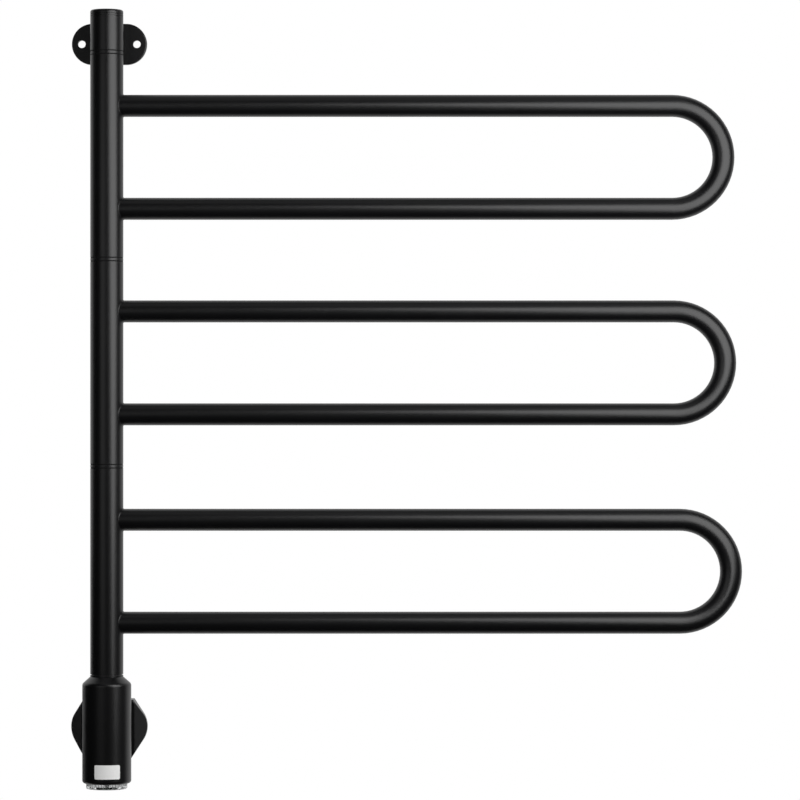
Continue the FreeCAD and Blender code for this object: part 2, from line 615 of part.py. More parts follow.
def is_bar_seam(edge):
    """True for the edge where a bar meets the sleeve, which lies on both cylinders."""
    points = edge.discretize(7)
    from_column = [math.hypot(point.x, point.y) for point in points]
    from_bar = [math.hypot(point.y, abs(point.z) - SIZE["bar_spacing"] / 2) for point in points]
    on_column = all(same(distance, SIZE["column_od"] / 2) for distance in from_column)
    on_bar = all(same(distance, SIZE["loop_tube_od"] / 2) for distance in from_bar)
    return on_column and on_bar and min(point.x for point in points) > 0


def build_loop_tube(k, name):
    """The U-bent tube: its ends are coped to the sleeve and carry their weld beads."""
    body = doc.addObject("PartDesign::Body", f"{name}_loop_tube")
    far = f"(reach_{name} - (bar_spacing + loop_tube_od) / 2)"
    route = sketch_on(body, "XZ_Plane", f"{name}_loop_route")
    run = SIZE[f"reach_{name}"] - (SIZE["bar_spacing"] + SIZE["loop_tube_od"]) / 2
    half = SIZE["bar_spacing"] / 2
    route.addGeometry(Part.LineSegment(FreeCAD.Vector(0, half, 0), FreeCAD.Vector(run, half, 0)), False)
    bend = Part.Circle(FreeCAD.Vector(run, 0, 0), FreeCAD.Vector(0, 0, 1), half)
    route.addGeometry(Part.ArcOfCircle(bend, -math.pi / 2, math.pi / 2), False)
    route.addGeometry(Part.LineSegment(FreeCAD.Vector(run, -half, 0), FreeCAD.Vector(0, -half, 0)), False)
    route.addConstraint(Sketcher.Constraint("Tangent", 0, 2, 1, 2))
    route.addConstraint(Sketcher.Constraint("Tangent", 1, 1, 2, 1))
    fix_point(route, 0, 1, "_start", "0", "bar_spacing / 2")
    fix_point(route, 1, 3, "_bend", far, "0")
    fix_point(route, 2, 2, "_end", "0", "-bar_spacing / 2")
    rings = {}
    for ring, diameter in (("outer", "loop_tube_od"), ("inner", "loop_tube_od - 2 * loop_tube_wall")):
        rings[ring] = sketch_on(body, "YZ_Plane", f"{name}_loop_{ring}")
        circle(rings[ring], diameter, up="bar_spacing / 2")
    column = sketch_on(body, "XY_Plane", f"{name}_loop_column")
    circle(column, "column_od")
    pipe = body.newObject("PartDesign::AdditivePipe", f"{name}_loop_pipe")
    pipe.Profile = rings["outer"]
    pipe.Spine = (route, ["Edge1", "Edge2", "Edge3"])
    pad = body.newObject("PartDesign::Pad", f"{name}_loop_column_pad")
    pad.Profile = column
    pad.Midplane = True
    bind(pad, Length="bar_spacing + 2 * loop_tube_od")
    dress(body, "Fillet", f"{name}_loop_weld", "weld_leg", is_bar_seam)
    sleeve = sketch_on(body, "XY_Plane", f"{name}_loop_cope")
    circle(sleeve, "column_od + 2 * seat_clearance")
    cope = body.newObject("PartDesign::Pocket", f"{name}_loop_coping")
    cope.Profile = sleeve
    cope.Type = "ThroughAll"
    cope.Midplane = True
    bore = body.newObject("PartDesign::SubtractivePipe", f"{name}_loop_bore")
    bore.Profile = rings["inner"]
    bore.Spine = (route, ["Edge1", "Edge2", "Edge3"])
    piece(f"{name}_loop_tube", place(body, y="axis_y", z=LOOP_LEVELS[k]))


def build_heater(k, name):
    """The cable in the tube, its grommets in the sleeve and the tail that takes up the swing."""
    start = "(sleeve_bore / 2 - tail_diameter / 4 + cable_end_gap)"
    far = f"(reach_{name} - (bar_spacing + loop_tube_od) / 2)"
    bars = [rod(f"{name}_cable_{side}", "cable_diameter", f"{far} - {start}", x=start, z=up, along="+X")
            for side, up in (("upper", "bar_spacing / 2"), ("lower", "-bar_spacing / 2"))]
    bend = doc.addObject("Part::Torus", f"{name}_cable_bend")
    bind(bend, Radius1="bar_spacing / 2", Radius2="cable_diameter / 2")
    bend.Angle3 = 180
    # The half ring stands in the loop's plane: its start points down and its middle points along +X.
    down, out, front = FreeCAD.Vector(0, 0, -1), FreeCAD.Vector(1, 0, 0), FreeCAD.Vector(0, -1, 0)
    bend.Placement.Rotation = FreeCAD.Rotation(down, out, front)
    place(bend, x=far)
    cable = join(f"{name}_cable", *bars, bend)
    cable.Refine = True
    piece(f"{name}_heating_cable", place(cable, y="axis_y", z=LOOP_LEVELS[k]))
    grommets = []
    for side, up in (("upper", "bar_spacing / 2"), ("lower", "-bar_spacing / 2")):
        hole = "(cable_diameter / 2 + seat_clearance)"
        barrel = "(pass_hole_diameter / 2 - seat_clearance)"
        seat = "(column_od / 2 + loose_clearance)"
        grommet = turned(f"{name}_grommet_{side}", [
            (hole, "sleeve_bore / 2"), (barrel, "sleeve_bore / 2"), (barrel, seat),
            ("grommet_flange_od / 2", seat), ("grommet_flange_od / 2", f"{seat} + grommet_flange_height"),
            (hole, f"{seat} + grommet_flange_height")])
        grommet.Placement.Rotation = TURNS["+X"]
        grommets.append(place(grommet, z=up))
    pair = group(f"{name}_grommet_set", *grommets)
    piece(f"{name}_cable_grommets", place(pair, y="axis_y", z=LOOP_LEVELS[k]))
    tail = doc.addObject("Part::Torus", f"{name}_tail")
    bind(tail, Radius1="(mast_od / 2 + column_od / 2 - sleeve_wall) / 2", Radius2="tail_diameter / 2",
         Angle3="swing_angle / 2")
    turn_about_z(tail, "-swing_angle / 2")
    piece(f"{name}_lead_tail", place(tail, y="axis_y", z=lead_level(k)))


def build_sections():
    for k, name in enumerate(LEVEL_NAMES):
        length = f"{SECTION_TOPS[k]} - {SECTION_ENDS[k]}"
        blank = tube(f"{name}_sleeve", "column_od", "sleeve_bore", length, z=SECTION_ENDS[k])
        ways = [rod(f"{name}_pass_hole_{side}", "pass_hole_diameter", "column_od", along="+X",
                    z=f"{LOOP_LEVELS[k]} {sign} bar_spacing / 2")
                for side, sign in (("upper", "+"), ("lower", "-"))]
        piece(f"{name}_loop_sleeve", on_axis(cut(f"{name}_sleeve_shape", blank, *ways)))
        build_loop_tube(k, name)
        build_bush(k, name)
        build_heater(k, name)


def foot_screw_turns():
    """Directions, from outside towards the axis, of the two screws at the rear of the housing."""
    rear = FreeCAD.Rotation(FreeCAD.Vector(1, 0, 0), 90)
    up = FreeCAD.Vector(0, 0, 1)
    return {side: FreeCAD.Rotation(up, sign * SIZE["foot_screw_azimuth"]).multiply(rear)
            for side, sign in (("right", -1), ("left", 1))}


def foot_screw_start(sign, out="(housing_od / 2 - foot_screw_sink)"):
    return {
        "x": f"{sign}{out} * sin(foot_screw_azimuth)",
        "y": f"{out} * cos(foot_screw_azimuth)",
        "z": "foot_screw_level",
    }


def foot_screw_ways(owner):
    """Countersunk ways for the housing screws, the same in the shell and in the foot."""
    head = "(foot_screw_diameter * screw_head_share + 2 * seat_clearance)"
    shank = "(foot_screw_diameter + 2 * seat_clearance)"
    ways = []
    for side, sign in (("right", ""), ("left", "-")):
        turn = foot_screw_turns()[side]
        start = foot_screw_start(sign)
        way = rod(f"{owner}_screw_way_{side}", shank, "foot_screw_length", turn=turn, **start)
        mouth = rod(f"{owner}_screw_mouth_{side}", head, "overrun", turn=turn,
                    **foot_screw_start(sign, "(housing_od / 2 - foot_screw_sink + overrun)"))
        sink = doc.addObject("Part::Cone", f"{owner}_sink_{side}")
        sink.Placement.Rotation = turn
        bind(sink, Radius1=f"{head} / 2", Radius2=f"{shank} / 2", Height="foot_screw_diameter / 2")
        ways += [way, mouth, place(sink, **start)]
    return ways


def build_housing():
    neck = "(mast_od / 2 + seat_clearance)"
    rim = "(column_od / 2)"
    out = "(housing_od / 2)"
    inside = "(housing_bore / 2)"
    shell = turned("housing_shell", [
        (neck, "0"), (rim, "0"), (rim, "-shoulder_collar"), (out, "-shoulder_height"),
        (out, "-housing_height"),
        (inside, "-housing_height"), (inside, "-shoulder_height - housing_wall / 2"),
        (f"{rim} - housing_wall", "-neck_thickness"), (neck, "-neck_thickness")])
    dress(shell, "Fillet", "housing_shoulder_edge", "shoulder_rounding",
          lambda edge: is_circle(edge, SIZE["housing_od"] / 2, -SIZE["shoulder_height"]))
    dress(shell, "Fillet", "housing_lower_edge", "housing_wall - housing_lip",
          lambda edge: is_circle(edge, SIZE["housing_od"] / 2, -SIZE["housing_height"]))
    place(shell, z="housing_top")
    way = rod("housing_boss_way", "boss_od + 2 * seat_clearance", "housing_od",
              z="lower_plate_level", along="+Y")
    piece("control_housing", on_axis(cut("housing_drilled", shell, way, *foot_screw_ways("housing"))))


def build_foot():
    inside = "(housing_bore / 2 - seat_clearance)"
    bore = "(mast_od / 2 + seat_clearance)"
    foot = turned("mast_foot_blank", [
        (bore, "0"), (inside, "0"), (inside, "foot_height"), (bore, "foot_height")])
    foot_radius = SIZE["housing_od"] / 2 - SIZE["housing_wall"] - SIZE["seat_clearance"]
    dress(foot, "Chamfer", "mast_foot_lead", "groove_depth",
          lambda edge: is_circle(edge, foot_radius, foot.Shape.BoundBox.ZMax))
    place(foot, z="mast_bottom")
    lock_start = "(mast_od / 2 + seat_clearance + mast_lock_length)"
    ways = []
    locks = []
    for side, axis, along in (("left", "x", "+X"), ("front", "y", "+Y")):
        start = {axis: f"-{inside}", "z": "foot_screw_level"}
        ways.append(rod(f"foot_lock_way_{side}", "foot_screw_diameter + 2 * seat_clearance", inside,
                        along=along, **start))
        lock = screw(f"foot_lock_{side}", "foot_screw_diameter", "mast_lock_length", False)
        lock.Placement.Rotation = TURNS[along]
        locks.append(place(lock, **{axis: f"-{lock_start}", "z": "foot_screw_level"}))
    piece("mast_foot", on_axis(cut("mast_foot_drilled", foot, *ways, *foot_screw_ways("foot"))))
    piece("mast_lock_screws", on_axis(group("mast_lock_screw_set", *locks)))
    screws = []
    for side, sign in (("right", ""), ("left", "-")):
        fixing = screw(f"foot_screw_{side}", "foot_screw_diameter", "foot_screw_length", True)
        fixing.Placement.Rotation = foot_screw_turns()[side]
        screws.append(place(fixing, **foot_screw_start(sign)))
    piece("housing_screws", on_axis(group("housing_screw_set", *screws)))


def is_plate_front(edge):
    """True for the edges round the front of the lower plate and for its two upright creases."""
    return edge.BoundBox.YMax < SAME - SIZE["wing_rim"]


def build_lower_plate():
    across = "(lower_plate_apex - {rise} / tan(lower_plate_slope))"
    top = across.format(rise="lower_plate_top")
    bottom = across.format(rise="lower_plate_bottom")
    corners = [
        ("lower_plate_apex", "0"), (top, "lower_plate_top"), (f"-{top}", "lower_plate_top"),
        ("-lower_plate_apex", "0"), (f"-{bottom}", "-lower_plate_bottom"), (bottom, "-lower_plate_bottom")]
    casting = padded_outline("lower_plate_casting", "XZ_Plane", corners, "saddle_depth")
    dress(casting, "Fillet", "lower_plate_corners", "lower_plate_corner",
          lambda edge: same(abs(edge.CenterOfMass.x), SIZE["lower_plate_apex"]))
    wings = sketch_on(casting, "XY_Plane", "lower_plate_wings")
    outer = "(lower_plate_apex + overrun)"
    front = "(-saddle_depth - overrun)"
    # Each wing falls from the saddle block to the rim at the rounded corner's outermost point.
    end = "(lower_plate_apex - lower_plate_corner * (1 / sin(lower_plate_slope) - 1))"
    fall = f"(saddle_depth - wing_rim) / ({end} - saddle_half_width)"
    outline(wings, [
        ("saddle_half_width", front), (outer, front), (outer, f"-wing_rim + ({outer} - {end}) * {fall}"),
        ("saddle_half_width", "-saddle_depth")])
    pocket = casting.newObject("PartDesign::Pocket", "lower_plate_wing_cut")
    pocket.Profile = wings
    pocket.Type = "ThroughAll"
    pocket.Midplane = True
    mirror = casting.newObject("PartDesign::Mirrored", "lower_plate_other_wing")
    mirror.Originals = [pocket]
    mirror.MirrorPlane = (next(f for f in casting.Origin.OriginFeatures if f.Role == "YZ_Plane"), [""])
    casting.Tip = mirror
    dress(casting, "Fillet", "lower_plate_edge", "plate_rounding", is_plate_front)
    saddle = rod("saddle_cutter", "housing_od + 2 * seat_clearance",
                 "2 * lower_plate_apex + 2 * lower_plate_bottom",
                 y="axis_y", z="-lower_plate_apex - lower_plate_bottom")
    through = "saddle_depth + 2 * overrun"
    bore = rod("lower_plate_bore", "boss_od + 2 * seat_clearance", through, y="overrun", along="-Y")
    tools = [saddle, bore]
    for side, sign in (("right", ""), ("left", "-")):
        x = f"{sign}lower_hole_spacing / 2"
        tools.append(rod(f"lower_hole_{side}", "lower_hole_diameter", through,
                         x=x, y="overrun", along="-Y"))
        tools.append(rod(f"lower_counterbore_{side}", "counterbore_diameter", "saddle_depth", x=x,
                         y="-counterbore_floor", along="-Y"))
    middle = "-(wall_gap - housing_od / 2) / 2"
    tools.append(rod("lock_screw_way", "lock_screw_diameter + 2 * seat_clearance",
                     "lower_plate_bottom + overrun", y=middle, z="-lower_plate_bottom - overrun"))
    piece("lower_wall_plate", place(cut("lower_plate_drilled", casting, *tools), z="lower_plate_level"))
    lock = screw("boss_lock", "lock_screw_diameter", "lock_screw_length", False)
    place(lock, y=middle, z="lower_plate_level - boss_od / 2 - seat_clearance - lock_screw_length")
    piece("boss_lock_screw", lock)


def build_boss():
    """A hollow boss: flange in the housing's rear wall, barrel in the lower wall plate."""
    front = "(housing_bore / 2 - boss_flange_depth)"
    barrel = rod("boss_barrel", "boss_od", f"wall_gap - boss_wall_gap - {front}", y=front, along="+Y")
    disc = rod("boss_disc", "boss_flange_od", "boss_flange_depth", y=front, along="+Y")
    inside = rod("boss_seat", "housing_bore - 2 * seat_clearance", "2 * boss_flange_od",
                 z="-boss_flange_od")
    flange = overlap("boss_flange", disc, inside)
    lead = rod("boss_lead_way", "boss_bore", "wall_gap", y=f"{front} - overrun", along="+Y")
    shape = cut("inlet_boss_shape", join("boss_blank", barrel, flange), lead)
    piece("inlet_boss", place(shape, y="axis_y", z="lower_plate_level"))


def build_controls():
    setback = "(-timer_board_setback)"
    floor = rod("chassis_floor_disc", "2 * inner_radius", "chassis_floor", z="floor_underside")
    skirt = tube("chassis_skirt", "2 * inner_radius", "2 * (inner_radius - skirt_wall)",
                 "skirt_height", z="carrier_top")
    behind = f"({setback} + board_thickness / 2 + post_side / 2)"
    posts = [block(f"chassis_post_{side}", "post_side", "post_side", "post_height",
                   x=f"{sign}post_spacing / 2", y=behind, z="chassis_top")
             for side, sign in (("right", ""), ("left", "-"))]
    blank = join("chassis_blank", floor, skirt, *posts)
    way_diameter = "board_screw_diameter + 2 * seat_clearance"
    ways = board_screw_rods("chassis", way_diameter)
    piece("control_chassis", on_axis(cut("chassis_drilled", blank, *ways)))
    board = block("timer_board_blank", "timer_board_width", "board_thickness", "timer_board_height",
                  y=setback, z="chassis_top")
    board_ways = board_screw_rods("timer_board", way_diameter)
    piece("timer_board", on_axis(cut("timer_board_drilled", board, *board_ways)))
    side = "(relay_width / 2)"
    case = padded_outline("relay_case", "XZ_Plane", [
        (side, "0"), (side, "relay_height"), (f"-{side}", "relay_height"), (f"-{side}", "0")],
        "relay_depth")
    dress(case, "Chamfer", "relay_bevels", "relay_bevel", lambda edge: True)
    piece("relay", place(case, y=f"axis_y + {setback} - board_thickness / 2",
                         z="chassis_top + timer_board_height / 2"))
    screws = board_screw_rods("board_screw", "board_screw_diameter")
    piece("board_screws", on_axis(group("board_screw_set", *screws)))
    build_terminals()
    build_button_board()


def board_screw_rods(owner, diameter):
    """Four level screws, or their ways, through the timer board into the posts."""
    rods = []
    for side, sign in (("right", ""), ("left", "-")):
        for end, up in (("lower", "board_screw_edge"), ("upper", "post_height - board_screw_edge")):
            rods.append(rod(f"{owner}_{side}_{end}", diameter, "board_screw_length", along="+Y",
                            x=f"{sign}post_spacing / 2", y="(-timer_board_setback - board_thickness / 2)",
                            z=f"chassis_top + {up}"))
    return rods


def build_terminals():
    board_back = "(board_thickness / 2 - timer_board_setback)"
    middle = f"({board_back} + terminal_gap + terminal_depth / 2)"
    case = block("terminal_case", "terminal_width", "terminal_depth", "terminal_height",
                 y=middle, z="chassis_top")
    wells = []
    for k in range(3):
        x = f"{k - 1} * terminal_width / 3"
        wells.append(rod(f"terminal_screw_well_{k}", "terminal_well", "terminal_well_depth + overrun",
                         x=x, y=f"{middle} + terminal_depth / 4",
                         z="chassis_top + terminal_height - terminal_well_depth"))
        wells.append(rod(f"terminal_wire_well_{k}", "terminal_well", "terminal_well_depth",
                         x=x, y=f"{middle} + terminal_depth / 2 - terminal_well_depth",
                         z="chassis_top + terminal_height / 3", along="+Y"))
    piece("terminal_block", on_axis(cut("terminal_block_shape", case, *wells)))


def build_button_board():
    board = rod("button_board_disc", "button_board_od", "board_thickness", z="button_board_underside")
    piece("button_board", on_axis(board))
    body_z = "button_board_underside - switch_height"
    case = block("switch_case", "switch_side", "switch_side", "switch_height", z=body_z)
    tip = rod("switch_tip", "switch_tip_diameter", "switch_tip_height + switch_height / 2",
              z=f"{body_z} - switch_tip_height")
    piece("tactile_switch", on_axis(join("tactile_switch_shape", case, tip)))
    circle_radius = "(button_board_od / 2 - light_inset)"
    lights = []
    for k in range(4):
        turn = f"{k} * 90 + 45"
        lights.append(rod(f"light_{k}", "light_diameter", "light_height",
                          x=f"{circle_radius} * cos({turn})", y=f"{circle_radius} * sin({turn})",
                          z="button_board_underside - light_height"))
    piece("indicator_lights", on_axis(group("indicator_light_set", *lights)))
    rim = "(housing_bore / 2 - seat_clearance)"
    bore = "(button_tube_od / 2 + carrier_clearance)"
    carrier = turned("button_carrier", [
        (bore, "0"), (rim, "0"), (rim, "carrier_height"), (bore, "carrier_height")])
    piece("button_carrier", place(carrier, y="axis_y", z="carrier_top - carrier_height"))


def build_button():
    rim = "(button_od / 2)"
    guide = "(button_tube_od / 2)"
    post = "(button_post_diameter / 2)"
    low = "button_bottom"
    floor_top = "button_floor_top"
    switch_bottom = "(button_board_underside - switch_height - switch_tip_height)"
    post_top = f"({switch_bottom} - button_travel - button_end_gap)"
    ridge_top = "(carrier_top + button_ridge_height)"
    rim_top = "(housing_bottom + button_rim_inset)"
    button = turned("control_button", [
        ("0", low), (rim, low), (rim, rim_top), (f"{rim} - button_wall", rim_top),
        (f"{rim} - button_wall", floor_top), (guide, floor_top), (guide, "carrier_top"),
        (f"{guide} + button_ridge", "carrier_top"), (guide, ridge_top),
        (f"{guide} - button_tube_wall", ridge_top), (f"{guide} - button_tube_wall", floor_top),
        (post, floor_top), (post, post_top), ("0", post_top)])
    dress(button, "Fillet", "button_edge", "button_rounding",
          lambda edge: is_circle(edge, button.Shape.BoundBox.XMax, button.Shape.BoundBox.ZMin))
    piece("control_button", on_axis(button))


def build_spring():
    """The return spring stands on the button's floor, under the button board."""
    wire = "spring_wire"
    length = "(button_board_underside - button_floor_top - 2 * spring_wire)"
    helix = doc.addObject("Part::Helix", "spring_helix")
    bind(helix, Radius="spring_diameter / 2", Height=length, Pitch=f"{length} / spring_turns")
    section = doc.addObject("Part::Circle", "spring_section")
    bind(section, Radius=f"{wire} / 2")
    section.Placement.Rotation = TURNS["-Y"]
    place(section, x="spring_diameter / 2")
    coil = doc.addObject("Part::Sweep", "spring_coil")
    coil.Sections = [section]
    coil.Spine = (helix, ["Edge1"])
    coil.Solid = True
    coil.Frenet = True
    piece("button_spring", place(coil, y="axis_y", z="button_floor_top + spring_wire"))


def build_label():
    back_diameter = "(housing_od + 2 * seat_clearance)"
    face = rod("label_face", f"{back_diameter} + 2 * label_thickness", "label_height",
               z="-label_height / 2")
    back = rod("label_back", back_diameter, "label_height + 2 * overrun",
               z="-label_height / 2 - overrun")
    side = "(label_width / 2)"
    edge_up = "(label_height / 2)"
    window = padded_outline("label_window", "XZ_Plane", [
        (side, edge_up), (f"-{side}", edge_up), (f"-{side}", f"-{edge_up}"), (side, f"-{edge_up}")],
        "housing_od")
    dress(window, "Fillet", "label_corners", "label_corner",
          lambda edge: edge.BoundBox.YLength > SIZE["housing_od"] / 2)
    plate = turn_about_z(overlap("label_shape", cut("label_band", face, back), window), "label_turn")
    piece("bare_plate", place(plate, y="axis_y", z="housing_bottom + label_rise"))


build_upper_plate()
build_standoff()
build_top()
build_mast()
build_rings()
build_stop_rings()
build_sections()
build_housing()
build_foot()
build_lower_plate()
build_boss()
build_controls()
build_button()
build_spring()
build_label()
doc.recompute()

# Nothing is written unless every object of the document came out sound.
faults = [thing.Name for thing in doc.Objects if "Invalid" in thing.State or "Error" in thing.State]
for part in finished:
    if part.Shape.isNull() or not part.Shape.isValid() or not part.Shape.Solids:
        faults.append(part.Label)
if faults:
    raise RuntimeError("failed: " + ", ".join(faults))
for part in finished:
    part.Shape.exportStep(f"parts/{part.Label}.step")
    print(f"{part.Label}: {len(part.Shape.Solids)} solid(s), {part.Shape.Volume:.1f} mm3")
print(len(finished), "nodes")
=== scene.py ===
# %% [markdown]
# # A heated swivel towel rail
#
# The real object is a black column of stock tube that is screwed to a bathroom wall. Three U shaped
# loops of thinner tube swing round it, and a round housing at its foot holds the timer and a clear
# push button. The construction model already has every tube, screw and bush at its true place, so
# this scene loads it as it is, and gives it finishes, a studio and a camera. Only five pieces are made
# again here: the clear button, because its moulded flutes are what the eye sees in clear plastic, the
# spring above it, wound again as a coil that stays as it is wound, and the three rings between the
# column's sections, because their two materials show as fine dark lines.

# %% Loading the construction model
import json
import math

import bmesh
import bpy
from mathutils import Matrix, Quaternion, Vector

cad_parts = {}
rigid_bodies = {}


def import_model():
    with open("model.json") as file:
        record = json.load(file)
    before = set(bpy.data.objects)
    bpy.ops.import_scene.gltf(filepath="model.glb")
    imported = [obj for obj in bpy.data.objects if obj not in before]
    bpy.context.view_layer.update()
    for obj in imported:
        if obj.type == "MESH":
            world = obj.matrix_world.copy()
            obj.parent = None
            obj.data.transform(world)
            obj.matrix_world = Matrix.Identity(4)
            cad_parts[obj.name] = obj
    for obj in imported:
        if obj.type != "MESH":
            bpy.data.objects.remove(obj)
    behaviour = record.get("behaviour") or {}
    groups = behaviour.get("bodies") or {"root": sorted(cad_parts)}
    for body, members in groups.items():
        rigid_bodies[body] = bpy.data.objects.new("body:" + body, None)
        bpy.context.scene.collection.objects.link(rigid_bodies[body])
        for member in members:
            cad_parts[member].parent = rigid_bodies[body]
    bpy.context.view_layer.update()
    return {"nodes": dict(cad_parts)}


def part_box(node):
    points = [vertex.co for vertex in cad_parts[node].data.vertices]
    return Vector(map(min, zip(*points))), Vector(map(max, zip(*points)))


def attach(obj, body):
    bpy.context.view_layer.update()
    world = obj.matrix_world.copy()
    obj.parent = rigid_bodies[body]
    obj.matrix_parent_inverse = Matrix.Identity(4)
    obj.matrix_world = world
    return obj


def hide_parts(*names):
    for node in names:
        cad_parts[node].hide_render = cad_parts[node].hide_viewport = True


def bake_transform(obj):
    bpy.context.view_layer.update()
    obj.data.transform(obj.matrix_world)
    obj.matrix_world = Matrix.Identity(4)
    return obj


for leftover in list(bpy.data.objects):
    bpy.data.objects.remove(leftover)
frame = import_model()
NODES = frame["nodes"]

# %% [markdown]
# ## Three helpers for every finish
#
# A shader works with linear light, while a colour is easier to choose as it is seen on a screen. One
# function turns the hex code of a screen colour into linear numbers. A second one adds a node to a
# tree with its settings and its sockets, where a socket gets a value or another node's output. A third
# one starts a material, and gives its empty tree and the coordinates of the piece's own space. With
# these, a finish reads as a short list of what it is made from.

# %% Colour, node and finish helpers
def linear(code):
    """The linear red, green, blue and alpha of a hex screen colour."""
    shares = [int(code[place:place + 2], 16) / 255 for place in (1, 3, 5)]
    return tuple(s / 12.92 if s <= 0.04045 else ((s + 0.055) / 1.055) ** 2.4 for s in shares) + (1.0,)


def add(tree, kind, settings=None, sockets=None):
    """Adds a node: settings are its options, sockets take values or other nodes' outputs."""
    node = tree.nodes.new(kind)
    for option, value in (settings or {}).items():
        setattr(node, option, value)
    for name, value in (sockets or {}).items():
        if isinstance(value, bpy.types.NodeSocket):
            tree.links.new(value, node.inputs[name])
        else:
            node.inputs[name].default_value = value
    return node


def finish(name):
    """A new material with an empty tree, and where its pattern is read: the piece's own space."""
    made = bpy.data.materials.new(name)
    made.use_nodes = True
    made.node_tree.nodes.clear()
    space = add(made.node_tree, "ShaderNodeTexCoord").outputs["Object"]
    return made, made.node_tree, space


print("satin black in linear numbers:", [round(value, 4) for value in linear("#08080A")])

# %% [markdown]
# ## The camera
#
# The photograph was taken square to the wall with a long lens: the bars stay parallel, and the top of
# the column is seen slightly from below and its foot slightly from above. A camera 3.45 m in front of
# the column, level with the middle of the rail, gives the same picture without any lens shift. Its
# focal length follows from the width of wall that the square frame takes in.

# %% Camera
MILLIMETRES_PER_PIXEL = 0.9075
COLUMN_AXIS = Vector((0.0, -0.035, 0.0))
PIXELS_ACROSS = 800
SQUARE_FRAME = PIXELS_ACROSS * MILLIMETRES_PER_PIXEL / 1000
SENSOR_WIDTH = 36
DISTANCE = 3.449
FRAME_MIDDLE = (0.2661, -0.3257)  # across and up, from the middle of the upper plate's screws

camera_data = bpy.data.cameras.new("long_lens")
camera_data.sensor_width = SENSOR_WIDTH
camera_data.lens = SENSOR_WIDTH * DISTANCE / SQUARE_FRAME
camera = bpy.data.objects.new("camera", camera_data)
camera.location = (FRAME_MIDDLE[0], COLUMN_AXIS.y - DISTANCE, FRAME_MIDDLE[1])
camera.rotation_euler = (math.radians(90), 0, 0)
bpy.context.scene.collection.objects.link(camera)
bpy.context.scene.camera = camera
bpy.context.scene.view_settings.view_transform = "Standard"
print("focal length", round(camera_data.lens, 1), "mm")

# %% [markdown]
# ## White surroundings
#
# The rail was photographed in front of white paper, and the paper also shows in it: every tube has a
# thin grey rim where its side mirrors what stands behind it. The front of a studio is dark, so the
# middle of a black tube stays black. The world is therefore white to the camera and to clear plastic,
# and to a mirror it is white behind the rail and dark in front of it, with a soft change between the
# two. To everything else it is a weak even light.

# %% World
PAPER_TO_MIRRORS = 0.80
STUDIO_TO_MIRRORS = 0.02
EVEN_LIGHT = 0.30
STUDIO_ENDS, PAPER_STARTS = 0.13, 0.50


def seen_directly(tree):
    """Gives 1 for rays from the camera and through clear plastic, and 0 for all others."""
    path = add(tree, "ShaderNodeLightPath").outputs
    return add(tree, "ShaderNodeMath", {"operation": "MAXIMUM"}, {
        0: path["Is Camera Ray"], 1: path["Is Transmission Ray"]}).outputs[0]


world = bpy.data.worlds.new("white_studio")
bpy.context.scene.world = world
world.use_nodes = True
tree = world.node_tree
tree.nodes.clear()
direction = add(tree, "ShaderNodeTexCoord").outputs["Generated"]
backwards = add(tree, "ShaderNodeSeparateXYZ", None, {0: direction}).outputs["Y"]
mirrored = add(tree, "ShaderNodeMapRange", {"interpolation_type": "SMOOTHSTEP"}, {
    "Value": backwards, "From Min": STUDIO_ENDS, "From Max": PAPER_STARTS,
    "To Min": STUDIO_TO_MIRRORS, "To Max": PAPER_TO_MIRRORS}).outputs[0]
is_mirrored = add(tree, "ShaderNodeLightPath").outputs["Is Glossy Ray"]
unseen = add(tree, "ShaderNodeMix", {"data_type": "FLOAT"}, {
    0: is_mirrored, 2: EVEN_LIGHT, 3: mirrored}).outputs[0]
strength = add(tree, "ShaderNodeMix", {"data_type": "FLOAT"}, {
    0: seen_directly(tree), 2: unseen, 3: 1.0}).outputs[0]
background = add(tree, "ShaderNodeBackground", None, {"Color": (1, 1, 1, 1), "Strength": strength})
add(tree, "ShaderNodeOutputWorld", None, {"Surface": background.outputs[0]})
print("world: paper", PAPER_TO_MIRRORS, "studio", STUDIO_TO_MIRRORS, "even light", EVEN_LIGHT)

# %% [markdown]
# ## The floor
#
# The rail hangs on a wall, so the floor is below it and takes its soft shadow. A round sheet of pale
# paper is enough. Near the rail about half of what the camera sees is a real matt surface, and towards
# its edge it goes over into the white of the background, so that no horizon shows in any view. From
# below it is clear, so that the button can be looked at. The tubes don't mirror it: a real rail hangs
# more than a metre above the floor, and mirrors the paper behind it and the dark room instead.

# %% Floor
FLOOR_LEVEL = -0.83
FLOOR_RADIUS = 2.4
FLOOR_MIDDLE = Vector((0.27, COLUMN_AXIS.y, FLOOR_LEVEL))

floor_mesh = bpy.data.meshes.new("floor")
shape = bmesh.new()
bmesh.ops.create_circle(shape, cap_ends=True, segments=96, radius=FLOOR_RADIUS)
for vertex in shape.verts:
    vertex.co += FLOOR_MIDDLE
shape.to_mesh(floor_mesh)
shape.free()
floor = bpy.data.objects.new("floor", floor_mesh)
bpy.context.scene.collection.objects.link(floor)
floor.visible_glossy = False

# %% Pale paper
FADE_FROM, FADE_TO = 0.45, 1.15
PALE_NEAR_THE_RAIL = 0.55
FIBRES_PER_METRE = 900.0


def fibrous(tree, space, smoothest):
    """Roughness and relief of matt paper or board, both from one pattern of fibres."""
    fibres = add(tree, "ShaderNodeTexNoise", None, {
        "Vector": space, "Scale": FIBRES_PER_METRE, "Detail": 3.0}).outputs[0]
    roughness = add(tree, "ShaderNodeMapRange", None, {
        "Value": fibres, "To Min": smoothest, "To Max": 0.95}).outputs[0]
    relief = add(tree, "ShaderNodeBump", None, {
        "Height": fibres, "Strength": 0.3, "Distance": 0.0002}).outputs[0]
    return roughness, relief


